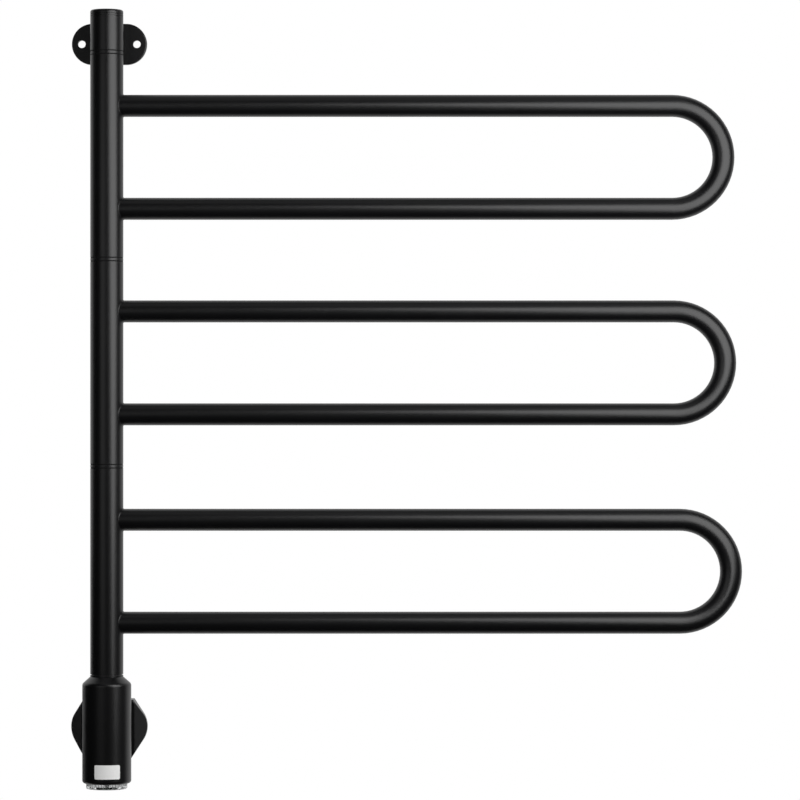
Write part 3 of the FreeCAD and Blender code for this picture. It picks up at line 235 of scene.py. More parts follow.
pale_paper, tree, space = finish("pale_paper")
roughness, relief = fibrous(tree, space, 0.80)
from_middle = add(tree, "ShaderNodeVectorMath", {"operation": "SUBTRACT"}, {
    0: space, 1: FLOOR_MIDDLE}).outputs[0]
how_far = add(tree, "ShaderNodeVectorMath", {"operation": "LENGTH"}, {0: from_middle}).outputs["Value"]
far_share = add(tree, "ShaderNodeMapRange", {"interpolation_type": "SMOOTHSTEP"}, {
    "Value": how_far, "From Min": FADE_FROM, "From Max": FADE_TO}).outputs[0]
matt = add(tree, "ShaderNodeBsdfPrincipled", None, {
    "Base Color": linear("#E9E9E8"), "Roughness": roughness, "Normal": relief, "Specular IOR Level": 0.3})
white = add(tree, "ShaderNodeEmission", None, {"Color": (1, 1, 1, 1), "Strength": 1.0})
paleness = add(tree, "ShaderNodeMapRange", None, {
    "Value": far_share, "To Min": PALE_NEAR_THE_RAIL, "To Max": 1.0}).outputs[0]
share = add(tree, "ShaderNodeMath", {"operation": "MULTIPLY"}, {
    0: paleness, 1: seen_directly(tree)}).outputs[0]
upper_side = add(tree, "ShaderNodeMixShader", None, {0: share, 1: matt.outputs[0], 2: white.outputs[0]})
see_through = add(tree, "ShaderNodeBsdfTransparent")
from_below = add(tree, "ShaderNodeNewGeometry").outputs["Backfacing"]
both_sides = add(tree, "ShaderNodeMixShader", None, {
    0: from_below, 1: upper_side.outputs[0], 2: see_through.outputs[0]})
add(tree, "ShaderNodeOutputMaterial", None, {"Surface": both_sides.outputs[0]})
floor_mesh.materials.append(pale_paper)
print("paper turns from pale to white between", FADE_FROM, "and", FADE_TO, "m from the middle")

# %% [markdown]
# ## Softboxes
#
# The bright stripe on the column tells where the lamps stood: on a round tube the angle of the surface
# gives the direction that it mirrors. A tall box stands close to the right, from 25 to 73 degrees off
# the line to the camera, and ends at about the height of the lowest loop, which is why the stripe
# fades towards the housing. Its near end starts where the bars turn bright. It leans, with its top
# towards the middle of the rail, because the stripe on a bar starts high on the tube and comes down
# further out. A much weaker box stands further off to the left, between 7 and 40 degrees, and a weak
# one hangs above. The camera itself sees none of them.

# %% Lamps
def softbox(name, middle, faces, width, height, watts, lean=0):
    """A rectangular lamp: where it is and faces, its size in metres, its power, its lean in degrees."""
    data = bpy.data.lights.new(name, "AREA")
    data.shape = "RECTANGLE"
    data.size, data.size_y = width, height
    data.energy = watts
    lamp = bpy.data.objects.new(name, data)
    lamp.location = middle
    leant = Quaternion((0, 0, 1), math.radians(lean))
    lamp.rotation_euler = (Vector(faces).to_track_quat("-Z", "Y") @ leant).to_euler()
    lamp.visible_camera = False
    bpy.context.scene.collection.objects.link(lamp)
    print(name, "gives", round(watts / (math.pi * width * height), 2), "W per square metre and steradian")


softbox("right_softbox", (0.80, -0.63, 0.0), (-0.45, 0.893, 0.0), 0.96, 0.95, 10.5, lean=32)
softbox("left_softbox", (-0.67, -1.6125, -0.185), (0.451, 0.892, 0.0), 1.01, 0.87, 1.75)
softbox("top_softbox", (0.27, -0.5, 1.5), (0.0, 0.0, -1.0), 1.6, 1.6, 2.4)

# %% [markdown]
# ## Cards at the foot
#
# Near its foot the rail's left side stays black almost to its rim, while higher up the rim is wide and
# grey. A black card to the left of the foot keeps the paper out of the mirror image there, and a grey
# one behind it makes the rim of the housing darker than that of the column. Only mirroring surfaces
# see the cards, so they neither show nor cast a shadow.

# %% Cards
def card(name, corner, other_corner, low, high, colour):
    """An upright card between two corners of the ground plan, in matt board of one colour."""
    mesh = bpy.data.meshes.new(name)
    mesh.from_pydata([(*corner, low), (*other_corner, low), (*other_corner, high), (*corner, high)],
                     [], [(0, 1, 2, 3)])
    stood = bpy.data.objects.new(name, mesh)
    bpy.context.scene.collection.objects.link(stood)
    for ray in ("camera", "diffuse", "transmission", "volume_scatter", "shadow"):
        setattr(stood, "visible_" + ray, False)

    board, tree, space = finish(name + "_board")
    roughness, relief = fibrous(tree, space, 0.85)
    matt = add(tree, "ShaderNodeBsdfPrincipled", None, {
        "Base Color": linear(colour), "Roughness": roughness, "Normal": relief, "Specular IOR Level": 0.2})
    add(tree, "ShaderNodeOutputMaterial", None, {"Surface": matt.outputs[0]})
    mesh.materials.append(board)
    print(name, round(math.dist(corner, other_corner), 2), "m wide,", round(high - low, 2), "m high")


card("black_card", (-0.53, -0.10), (-0.53, 0.27), -0.95, -0.48, "#141414")
card("grey_card", (-0.53, 0.27), (-0.10, 0.62), -0.95, -0.62, "#B8B8B8")

# %% [markdown]
# ## Powder coated steel
#
# The tubes, the housing and the wall plates are steel with a satin black powder coat. The powder is
# sprayed on dry and melts in an oven at about 200 degrees, and it never flows quite flat: it keeps a
# shallow orange peel with waves of 2 to 4 mm, and a finer grain of about half a millimetre. Both are
# made as relief, with a little change of gloss along with them, so that highlights have soft edges
# that wander slightly, as on the real coat.

# %% Satin powder coat
ORANGE_PEEL_WAVE = 0.0032
POWDER_GRAIN = 0.0006
GLOSS_PATCH = 0.045

satin_powder_coat, tree, space = finish("satin_powder_coat")
peel = add(tree, "ShaderNodeTexNoise", None, {
    "Vector": space, "Scale": 1 / ORANGE_PEEL_WAVE, "Detail": 1.5, "Roughness": 0.45}).outputs[0]
grain = add(tree, "ShaderNodeTexNoise", None, {
    "Vector": space, "Scale": 1 / POWDER_GRAIN, "Detail": 2.0, "Roughness": 0.6}).outputs[0]
patches = add(tree, "ShaderNodeTexNoise", None, {
    "Vector": space, "Scale": 1 / GLOSS_PATCH, "Detail": 2.0, "Roughness": 0.5}).outputs[0]
waves = add(tree, "ShaderNodeBump", None, {
    "Height": peel, "Strength": 0.35, "Distance": 0.00004}).outputs[0]
relief = add(tree, "ShaderNodeBump", None, {
    "Height": grain, "Strength": 0.25, "Distance": 0.00002, "Normal": waves}).outputs[0]
gloss = add(tree, "ShaderNodeMix", {"data_type": "FLOAT"}, {0: 0.35, 2: grain, 3: patches}).outputs[0]
roughness = add(tree, "ShaderNodeMapRange", None, {
    "Value": gloss, "From Min": 0.3, "From Max": 0.7, "To Min": 0.315, "To Max": 0.350}).outputs[0]
tone = add(tree, "ShaderNodeMix", {"data_type": "RGBA"}, {
    0: patches, 6: linear("#050506"), 7: linear("#08080A")}).outputs[2]
coat = add(tree, "ShaderNodeBsdfPrincipled", None, {
    "Base Color": tone, "Roughness": roughness, "Normal": relief, "IOR": 1.5})
add(tree, "ShaderNodeOutputMaterial", None, {"Surface": coat.outputs[0]})
print("orange peel", ORANGE_PEEL_WAVE * 1000, "mm, grain", POWDER_GRAIN * 1000, "mm")

# %% [markdown]
# ## Bare metal
#
# Screws, washers and the inner mast are mild steel with a thin bright zinc plating. Zinc grows in
# small crystals, which the eye sees as a fine cloudy change of gloss, and a rolled or drawn surface
# keeps faint lines along its length. The plate on the housing is aluminium foil, brushed from side to
# side and sealed with a pale matt lacquer. Bare, it would mirror the dark room and look grey, but the
# photograph shows it nearly white, so the lacquer scatters most of the light. The brushing stays as a
# fine relief: its scratches are about a tenth of a millimetre wide, and are drawn three times as wide
# here, or they would blur into an even grey in the picture.

# %% Zinc plated steel
ZINC_CRYSTAL = 0.0008
ZINC_CLOUD = 0.004
DRAWN_LINE = 0.0003

zinc_plated_steel, tree, space = finish("zinc_plated_steel")
crystals = add(tree, "ShaderNodeTexVoronoi", None, {
    "Vector": space, "Scale": 1 / ZINC_CRYSTAL}).outputs["Color"]
cloud = add(tree, "ShaderNodeTexNoise", None, {
    "Vector": space, "Scale": 1 / ZINC_CLOUD, "Detail": 3.0}).outputs[0]
stretched = add(tree, "ShaderNodeMapping", None, {"Vector": space, "Scale": (1.0, 1.0, 0.04)}).outputs[0]
drawn_lines = add(tree, "ShaderNodeTexNoise", None, {
    "Vector": stretched, "Scale": 1 / DRAWN_LINE, "Detail": 2.0}).outputs[0]
relief = add(tree, "ShaderNodeBump", None, {
    "Height": drawn_lines, "Strength": 0.2, "Distance": 0.00001}).outputs[0]
roughness = add(tree, "ShaderNodeMapRange", None, {
    "Value": cloud, "To Min": 0.24, "To Max": 0.40}).outputs[0]
tone = add(tree, "ShaderNodeMix", {"data_type": "RGBA"}, {
    0: crystals, 6: linear("#B4B7B9"), 7: linear("#C9CBCB")}).outputs[2]
metal = add(tree, "ShaderNodeBsdfPrincipled", None, {
    "Base Color": tone, "Metallic": 1.0, "Roughness": roughness, "Normal": relief})
add(tree, "ShaderNodeOutputMaterial", None, {"Surface": metal.outputs[0]})
print("zinc crystals", ZINC_CRYSTAL * 1000, "mm, drawn lines", DRAWN_LINE * 1000, "mm across")

# %% Lacquered aluminium
BRUSHING_WIDTH = 0.0003

lacquered_aluminium, tree, space = finish("lacquered_aluminium")
along_plate = add(tree, "ShaderNodeMapping", None, {
    "Vector": space, "Scale": (0.02, 1.0, 1.0)}).outputs[0]
scratches = add(tree, "ShaderNodeTexNoise", None, {
    "Vector": along_plate, "Scale": 1 / BRUSHING_WIDTH, "Detail": 3.0, "Roughness": 0.65}).outputs[0]
relief = add(tree, "ShaderNodeBump", None, {
    "Height": scratches, "Strength": 0.35, "Distance": 0.00003}).outputs[0]
roughness = add(tree, "ShaderNodeMapRange", None, {
    "Value": scratches, "From Min": 0.3, "From Max": 0.7, "To Min": 0.42, "To Max": 0.58}).outputs[0]
tone = add(tree, "ShaderNodeMix", {"data_type": "RGBA"}, {
    0: scratches, 6: linear("#E8E8E7"), 7: linear("#F4F4F3")}).outputs[2]
plate = add(tree, "ShaderNodeBsdfPrincipled", None, {
    "Base Color": tone, "Metallic": 0.08, "Roughness": roughness, "Normal": relief})
add(tree, "ShaderNodeOutputMaterial", None, {"Surface": plate.outputs[0]})
print("brushing", BRUSHING_WIDTH * 1000, "mm across, along the plate")

# %% [markdown]
# ## Plastics inside
#
# The bushes on which the loops turn are acetal, cut on a lathe, so they keep fine rings 0.2 mm apart.
# The switch, the relay and the carrier of the button are moulded in dark ABS and the terminal block in
# pale nylon, both from a mould with a fine spark eroded grain. Cables and grommets are red silicone,
# which stands the heat. All are hidden behind the housing and in the tubes, but the button can be
# looked through, so each has its own finish.

# %% Turned acetal
BANDS_AT_SCALE_1 = 0.314  # metres from band to band in a wave texture
TURNING_PITCH = 0.0002
ACETAL_CLOUD = 0.006

turned_acetal, tree, space = finish("turned_acetal")
rings = add(tree, "ShaderNodeTexWave", {"wave_type": "BANDS", "bands_direction": "Z"}, {
    "Vector": space, "Scale": BANDS_AT_SCALE_1 / TURNING_PITCH, "Distortion": 0.6,
    "Detail": 1.0}).outputs[1]
cloud = add(tree, "ShaderNodeTexNoise", None, {
    "Vector": space, "Scale": 1 / ACETAL_CLOUD, "Detail": 2.0}).outputs[0]
relief = add(tree, "ShaderNodeBump", None, {
    "Height": rings, "Strength": 0.3, "Distance": 0.00002}).outputs[0]
roughness = add(tree, "ShaderNodeMapRange", None, {
    "Value": cloud, "To Min": 0.34, "To Max": 0.46}).outputs[0]
tone = add(tree, "ShaderNodeMix", {"data_type": "RGBA"}, {
    0: cloud, 6: linear("#222223"), 7: linear("#2B2B2C")}).outputs[2]
bush = add(tree, "ShaderNodeBsdfPrincipled", None, {
    "Base Color": tone, "Roughness": roughness, "Normal": relief, "IOR": 1.48})
add(tree, "ShaderNodeOutputMaterial", None, {"Surface": bush.outputs[0]})
print("turning rings", TURNING_PITCH * 1000, "mm apart")

# %% Moulded plastics
MOULD_GRAIN = 0.0005


def moulded(name, low, high, smooth, rough, refraction):
    """A moulded plastic: a spark eroded grain in its relief, gloss and tone."""
    made, tree, space = finish(name)
    grain = add(tree, "ShaderNodeTexNoise", None, {
        "Vector": space, "Scale": 1 / MOULD_GRAIN, "Detail": 3.0, "Roughness": 0.6}).outputs[0]
    relief = add(tree, "ShaderNodeBump", None, {
        "Height": grain, "Strength": 0.35, "Distance": 0.00004}).outputs[0]
    roughness = add(tree, "ShaderNodeMapRange", None, {
        "Value": grain, "From Min": 0.3, "From Max": 0.7, "To Min": smooth, "To Max": rough}).outputs[0]
    tone = add(tree, "ShaderNodeMix", {"data_type": "RGBA"}, {
        0: grain, 6: linear(low), 7: linear(high)}).outputs[2]
    body = add(tree, "ShaderNodeBsdfPrincipled", None, {
        "Base Color": tone, "Roughness": roughness, "Normal": relief, "IOR": refraction})
    add(tree, "ShaderNodeOutputMaterial", None, {"Surface": body.outputs[0]})
    return made


dark_abs = moulded("dark_abs", "#262628", "#303032", 0.45, 0.58, 1.54)
pale_nylon = moulded("pale_nylon", "#D6D5CF", "#E2E1DC", 0.38, 0.50, 1.53)
red_silicone = moulded("red_silicone", "#7A3A30", "#8A4438", 0.55, 0.70, 1.41)
print("mould grain", MOULD_GRAIN * 1000, "mm")

# %% [markdown]
# ## Circuit boards and lights
#
# A circuit board is a sheet of glass cloth in epoxy under a green solder mask. The cloth shows through
# as a fine grid, about 0.7 mm from thread to thread. The small lights beside the switch are water clear
# epoxy over a pale reflector, so they look like milky glass.

# %% Glass epoxy board
THREAD_SPACING = 0.0007

glass_epoxy, tree, space = finish("glass_epoxy")
warp = add(tree, "ShaderNodeTexWave", {"bands_direction": "X"}, {
    "Vector": space, "Scale": BANDS_AT_SCALE_1 / THREAD_SPACING}).outputs[1]
weft = add(tree, "ShaderNodeTexWave", {"bands_direction": "Y"}, {
    "Vector": space, "Scale": BANDS_AT_SCALE_1 / THREAD_SPACING}).outputs[1]
cloth = add(tree, "ShaderNodeMath", {"operation": "MULTIPLY"}, {0: warp, 1: weft}).outputs[0]
relief = add(tree, "ShaderNodeBump", None, {
    "Height": cloth, "Strength": 0.2, "Distance": 0.00002}).outputs[0]
roughness = add(tree, "ShaderNodeMapRange", None, {
    "Value": cloth, "To Min": 0.22, "To Max": 0.36}).outputs[0]
tone = add(tree, "ShaderNodeMix", {"data_type": "RGBA"}, {
    0: cloth, 6: linear("#1E5A38"), 7: linear("#2A7048")}).outputs[2]
board = add(tree, "ShaderNodeBsdfPrincipled", None, {
    "Base Color": tone, "Roughness": roughness, "Normal": relief, "IOR": 1.55})
add(tree, "ShaderNodeOutputMaterial", None, {"Surface": board.outputs[0]})
print("glass threads", THREAD_SPACING * 1000, "mm apart")

# %% Clear epoxy
MILKY_CLOUD = 0.002

clear_epoxy, tree, space = finish("clear_epoxy")
cloud = add(tree, "ShaderNodeTexNoise", None, {
    "Vector": space, "Scale": 1 / MILKY_CLOUD, "Detail": 2.0}).outputs[0]
relief = add(tree, "ShaderNodeBump", None, {
    "Height": cloud, "Strength": 0.15, "Distance": 0.00003}).outputs[0]
roughness = add(tree, "ShaderNodeMapRange", None, {
    "Value": cloud, "To Min": 0.08, "To Max": 0.16}).outputs[0]
tone = add(tree, "ShaderNodeMix", {"data_type": "RGBA"}, {
    0: cloud, 6: linear("#DCDCD2"), 7: linear("#F0F0EA")}).outputs[2]
lens = add(tree, "ShaderNodeBsdfPrincipled", None, {
    "Base Color": tone, "Roughness": roughness, "Normal": relief, "IOR": 1.55, "Transmission Weight": 0.4})
add(tree, "ShaderNodeOutputMaterial", None, {"Surface": lens.outputs[0]})
print("clear epoxy, clouds", MILKY_CLOUD * 1000, "mm across")

# %% [markdown]
# ## Clear polycarbonate
#
# The push button is moulded in water clear polycarbonate, with an index of refraction of 1.585. A
# polished mould leaves almost no grain, but the melt shrinks as it cools, and that leaves shallow
# waves a few millimetres wide, which bend what is seen through them. Nothing in it is coloured: what
# shows is the white paper, the dark housing and the lamps, bent by the shape.

# %% Clear polycarbonate
SINK_WAVE = 0.003

clear_polycarbonate, tree, space = finish("clear_polycarbonate")
sink_waves = add(tree, "ShaderNodeTexNoise", None, {
    "Vector": space, "Scale": 1 / SINK_WAVE, "Detail": 2.0, "Roughness": 0.5}).outputs[0]
relief = add(tree, "ShaderNodeBump", None, {
    "Height": sink_waves, "Strength": 0.5, "Distance": 0.00025}).outputs[0]
roughness = add(tree, "ShaderNodeMapRange", None, {
    "Value": sink_waves, "To Min": 0.02, "To Max": 0.07}).outputs[0]
tone = add(tree, "ShaderNodeMix", {"data_type": "RGBA"}, {
    0: sink_waves, 6: linear("#EEF1F1"), 7: linear("#FAFBFB")}).outputs[2]
clear = add(tree, "ShaderNodeBsdfPrincipled", None, {
    "Base Color": tone, "Roughness": roughness, "Normal": relief, "IOR": 1.585, "Transmission Weight": 1.0})
add(tree, "ShaderNodeOutputMaterial", None, {"Surface": clear.outputs[0]})
print("sink waves", SINK_WAVE * 1000, "mm across")

# %% [markdown]
# ## Each node gets its finish
#
# The record names a finish for each node of the construction model. A node's mesh is never touched:
# its material slot simply gets the finish made above, and a slot without a finish is an error here.

# %% Dressing the nodes
FINISH_OF_SLOT = {
    "powder_coat": satin_powder_coat,
    "bare_steel": zinc_plated_steel,
    "acetal": turned_acetal,
    "brushed_plate": lacquered_aluminium,
    "clear_button": clear_polycarbonate,
    "silicone": red_silicone,
    "circuit_board": glass_epoxy,
    "pale_plastic": pale_nylon,
    "dark_plastic": dark_abs,
    "light": clear_epoxy,
}
dressed = {}
for name, node in NODES.items():
    for material_slot in node.material_slots:
        old_name = material_slot.material.name.split(".")[0]
        material_slot.material = FINISH_OF_SLOT[old_name]
        dressed.setdefault(old_name, []).append(name)
print({slot_name: len(names) for slot_name, names in dressed.items()})

# %% [markdown]
# ## The fluted button
#
# The real button is a clear cap. The inside of its rim is moulded with upright flutes that spread the
# light of the small lamps, and they give the ring its glittering look. The shape follows a rule, a
# section turned round an axis with a zigzag on one wall, so Geometry Nodes make it: a grid is rolled
# round the axis, each row of it takes its radius and height from one point of the section, and the
# points of the inner wall move in and out with the angle. The section is the one of the construction
# model, with its lower edge rounded in small steps and with the light groove that such a button has
# underneath: its outer flank lies at 45 degrees and mirrors the light of the lamps out of the rim.
# Seen from outside the same flank mirrors the dark inside of the housing, so the ring looks dark in its
# middle and clear at its sides. The guide tube is a second shot of dark plastic, and its dark tone is
# also painted shade: it stands in for the shaded inside of the housing, which shows through the cap.

# %% Section of the button
button_low, button_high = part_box("control_button")
BUTTON_RADIUS = (button_high.x - button_low.x) / 2
BUTTON_BOTTOM = button_low.z
BUTTON_TOP = button_high.z
HOUSING_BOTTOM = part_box("control_housing")[0].z
RIM_WALL = 0.0022
RIM_TOP = HOUSING_BOTTOM + 0.0020
FLOOR_TOP = BUTTON_BOTTOM + 0.0025
FLUTES = 72
FLUTE_DEPTH = 0.0005
EDGE_ROUNDING = 0.0012
EDGE_STEPS = 6
GUIDE_RADIUS = BUTTON_RADIUS - 0.0046
GUIDE_WALL = 0.0020
GUIDE_TOP = BUTTON_TOP - 0.0011
POST_RADIUS = 0.0025
HAIR = 0.0001  # tells apart what lies a little above or below a height
CARRIER_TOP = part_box("button_carrier")[1].z
RIDGE = 0.0012
GROOVE_OUTSIDE = 0.0112
GROOVE_DEPTH = 0.0024
GROOVE_TOP = GROOVE_OUTSIDE - GROOVE_DEPTH
STEEP_FLANK = 0.0004

section = [(0.0, BUTTON_BOTTOM), (GROOVE_TOP - STEEP_FLANK, BUTTON_BOTTOM),
           (GROOVE_TOP, BUTTON_BOTTOM + GROOVE_DEPTH), (GROOVE_OUTSIDE, BUTTON_BOTTOM)]
for step in range(EDGE_STEPS + 1):
    turn = math.radians(90 * step / EDGE_STEPS)
    section.append((BUTTON_RADIUS - EDGE_ROUNDING * (1 - math.sin(turn)),
                    BUTTON_BOTTOM + EDGE_ROUNDING * (1 - math.cos(turn))))
section += [
    (BUTTON_RADIUS, RIM_TOP), (BUTTON_RADIUS - RIM_WALL, RIM_TOP),
    (BUTTON_RADIUS - RIM_WALL, FLOOR_TOP), (GUIDE_RADIUS, FLOOR_TOP),
    (GUIDE_RADIUS, CARRIER_TOP), (GUIDE_RADIUS + RIDGE, CARRIER_TOP), (GUIDE_RADIUS, GUIDE_TOP),
    (GUIDE_RADIUS - GUIDE_WALL, GUIDE_TOP), (GUIDE_RADIUS - GUIDE_WALL, FLOOR_TOP),
    (POST_RADIUS, FLOOR_TOP), (POST_RADIUS, BUTTON_TOP), (0.0, BUTTON_TOP),
]


def drawn_section(name, points):
    """An object that is only a line so far, from point to point of a section."""
    mesh = bpy.data.meshes.new(name)
    mesh.from_pydata([(radius, 0.0, height) for radius, height in points],
                     [(row, row + 1) for row in range(len(points) - 1)], [])
    drawn = bpy.data.objects.new(name, mesh)
    bpy.context.scene.collection.objects.link(drawn)
    return drawn


button = drawn_section("fluted_button", section)
print("section of", len(section), "points, radius", round(BUTTON_RADIUS * 1000, 2), "mm")

# %% [markdown]
# The tree has named inputs for what a moulder would want to change: how many flutes there are, how
# deep they are cut and on which wall. The grid has four steps to a flute, so each flute has two flat
# faces and a sharp crest, and no step is wasted.

# %% Tree that turns and flutes a section
SAME_RADIUS = 0.00005
SAME_SPOT = 0.000002


def geometry_tree(name, inputs, result):
    """A new tree with named inputs and one output, and the sockets that its inputs arrive on."""
    made = bpy.data.node_groups.new(name, "GeometryNodeTree")
    for title, kind, value in inputs:
        entry = made.interface.new_socket(title, in_out="INPUT", socket_type=kind)
        if value is not None:
            entry.default_value = value
    made.interface.new_socket(result, in_out="OUTPUT", socket_type="NodeSocketGeometry")
    return made, add(made, "NodeGroupInput").outputs


turned_tree, given = geometry_tree("turned_and_fluted", [
    ("Section", "NodeSocketGeometry", None), ("Flutes", "NodeSocketInt", FLUTES),
    ("Flute Depth", "NodeSocketFloat", FLUTE_DEPTH), ("Fluted Radius", "NodeSocketFloat", 0.0164),
    ("Fluted From", "NodeSocketFloat", -0.676), ("Fluted To", "NodeSocketFloat", -0.671),
    ("Axis", "NodeSocketVector", (0.0, 0.0, 0.0)), ("Finish", "NodeSocketMaterial", None)], "Turned")
tree = turned_tree
rows = add(tree, "GeometryNodeAttributeDomainSize", {"component": "MESH"}, {
    0: given["Section"]}).outputs[0]
steps = add(tree, "ShaderNodeMath", {"operation": "MULTIPLY"}, {0: given["Flutes"], 1: 4.0}).outputs[0]
columns = add(tree, "ShaderNodeMath", {"operation": "ADD"}, {0: steps, 1: 1.0}).outputs[0]
grid = add(tree, "GeometryNodeMeshGrid", None, {
    "Size X": 1.0, "Size Y": 1.0, "Vertices X": columns, "Vertices Y": rows}).outputs[0]
spot = add(tree, "ShaderNodeSeparateXYZ", None, {0: add(tree, "GeometryNodeInputPosition").outputs[0]})
round_share = add(tree, "ShaderNodeMath", {"operation": "ADD"}, {
    0: spot.outputs["X"], 1: 0.5}).outputs[0]
row_share = add(tree, "ShaderNodeMath", {"operation": "ADD"}, {0: spot.outputs["Y"], 1: 0.5}).outputs[0]
last_row = add(tree, "ShaderNodeMath", {"operation": "SUBTRACT"}, {0: rows, 1: 1.0}).outputs[0]
row = add(tree, "ShaderNodeMath", {"operation": "MULTIPLY"}, {0: row_share, 1: last_row}).outputs[0]
row = add(tree, "ShaderNodeMath", {"operation": "ROUND"}, {0: row}).outputs[0]
of_section = add(tree, "GeometryNodeSampleIndex", {"data_type": "FLOAT_VECTOR", "domain": "POINT"}, {
    "Geometry": given["Section"], "Value": add(tree, "GeometryNodeInputPosition").outputs[0], "Index": row})
of_section = add(tree, "ShaderNodeSeparateXYZ", None, {0: of_section.outputs[0]}).outputs
off_wall = add(tree, "ShaderNodeMath", {"operation": "SUBTRACT"}, {
    0: of_section["X"], 1: given["Fluted Radius"]}).outputs[0]
off_wall = add(tree, "ShaderNodeMath", {"operation": "ABSOLUTE"}, {0: off_wall}).outputs[0]
on_wall = add(tree, "ShaderNodeMath", {"operation": "LESS_THAN"}, {
    0: off_wall, 1: SAME_RADIUS}).outputs[0]
above = add(tree, "ShaderNodeMath", {"operation": "GREATER_THAN"}, {
    0: of_section["Z"], 1: given["Fluted From"]}).outputs[0]
below = add(tree, "ShaderNodeMath", {"operation": "LESS_THAN"}, {
    0: of_section["Z"], 1: given["Fluted To"]}).outputs[0]
fluted = add(tree, "ShaderNodeMath", {"operation": "MULTIPLY"}, {0: on_wall, 1: above}).outputs[0]
fluted = add(tree, "ShaderNodeMath", {"operation": "MULTIPLY"}, {0: fluted, 1: below}).outputs[0]
half_steps = add(tree, "ShaderNodeMath", {"operation": "MULTIPLY"}, {
    0: round_share, 1: given["Flutes"]}).outputs[0]
zigzag = add(tree, "ShaderNodeMath", {"operation": "PINGPONG"}, {0: half_steps, 1: 0.5}).outputs[0]
zigzag = add(tree, "ShaderNodeMath", {"operation": "MULTIPLY"}, {0: zigzag, 1: 2.0}).outputs[0]
depth = add(tree, "ShaderNodeMath", {"operation": "MULTIPLY"}, {
    0: fluted, 1: given["Flute Depth"]}).outputs[0]
radius = add(tree, "ShaderNodeMath", {"operation": "MULTIPLY_ADD"}, {
    0: depth, 1: zigzag, 2: of_section["X"]}).outputs[0]
angle = add(tree, "ShaderNodeMath", {"operation": "MULTIPLY"}, {
    0: round_share, 1: 2 * math.pi}).outputs[0]
across = add(tree, "ShaderNodeMath", {"operation": "COSINE"}, {0: angle}).outputs[0]
along = add(tree, "ShaderNodeMath", {"operation": "SINE"}, {0: angle}).outputs[0]
across = add(tree, "ShaderNodeMath", {"operation": "MULTIPLY"}, {0: across, 1: radius}).outputs[0]
along = add(tree, "ShaderNodeMath", {"operation": "MULTIPLY"}, {0: along, 1: radius}).outputs[0]
turned_spot = add(tree, "ShaderNodeCombineXYZ", None, {
    "X": across, "Y": along, "Z": of_section["Z"]}).outputs[0]
turned_spot = add(tree, "ShaderNodeVectorMath", {"operation": "ADD"}, {
    0: turned_spot, 1: given["Axis"]}).outputs[0]
rolled = add(tree, "GeometryNodeSetPosition", None, {
    "Geometry": grid, "Position": turned_spot}).outputs[0]
closed = add(tree, "GeometryNodeMergeByDistance", None, {
    "Geometry": rolled, "Distance": SAME_SPOT}).outputs[0]
real = add(tree, "GeometryNodeRealizeInstances", None, {"Geometry": closed}).outputs[0]
painted = add(tree, "GeometryNodeSetMaterial", None, {
    "Geometry": real, "Material": given["Finish"]}).outputs[0]
add(tree, "NodeGroupOutput", None, {"Turned": painted})
print("tree with", len(tree.nodes), "nodes")

# %% Turning the button
CREASE_OF_TURNED = 28


def run_tree(piece, made_by, values):
    """Gives the piece a tree as its modifier, with the inputs set by the names that the tree has."""
    modifier = piece.modifiers.new(made_by.name, "NODES")
    modifier.node_group = made_by
    for item in made_by.interface.items_tree:
        if item.in_out == "INPUT" and item.name in values:
            modifier[item.identifier] = values[item.name]


def as_plain_mesh(piece, crease, *finishes):
    """Swaps the piece's mesh for what its tree makes: faces outwards, sharp from a crease angle on."""
    made = bpy.data.meshes.new_from_object(piece.evaluated_get(bpy.context.evaluated_depsgraph_get()))
    piece.modifiers.clear()
    made.name = piece.name
    piece.data = made
    shape = bmesh.new()
    shape.from_mesh(made)
    bmesh.ops.dissolve_degenerate(shape, dist=0.000001, edges=shape.edges)
    bmesh.ops.recalc_face_normals(shape, faces=shape.faces)
    shape.to_mesh(made)
    open_edges = sum(not edge.is_manifold for edge in shape.edges)
    shape.free()
    made.materials.clear()
    for piece_finish in finishes:
        made.materials.append(piece_finish)
    for face in made.polygons:
        face.use_smooth = True
    made.set_sharp_from_angle(angle=math.radians(crease))
    print(piece.name, "has", len(made.polygons), "faces and", open_edges, "open edges")
    return made


run_tree(button, turned_tree, {
    "Flutes": FLUTES, "Flute Depth": FLUTE_DEPTH, "Fluted Radius": BUTTON_RADIUS - RIM_WALL,
    "Fluted From": FLOOR_TOP - HAIR, "Fluted To": RIM_TOP + HAIR,
    "Axis": (COLUMN_AXIS.x, COLUMN_AXIS.y, 0.0), "Finish": clear_polycarbonate})
button_mesh = as_plain_mesh(button, CREASE_OF_TURNED, clear_polycarbonate, dark_abs)
# The guide tube's faces get dark ABS: partly a real second shot of plastic, partly painted shade for the
# shaded inside of the housing that shows through the clear cap.
for face in button_mesh.polygons:
    off_axis = (face.center - COLUMN_AXIS).xy.length
    on_guide = GUIDE_RADIUS - GUIDE_WALL - 3 * HAIR < off_axis < GUIDE_RADIUS + RIDGE
    face.material_index = 1 if on_guide and face.center.z > FLOOR_TOP + HAIR else 0
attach(button, "button")
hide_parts("control_button")
print("dark faces on the guide tube:", sum(face.material_index for face in button_mesh.polygons))
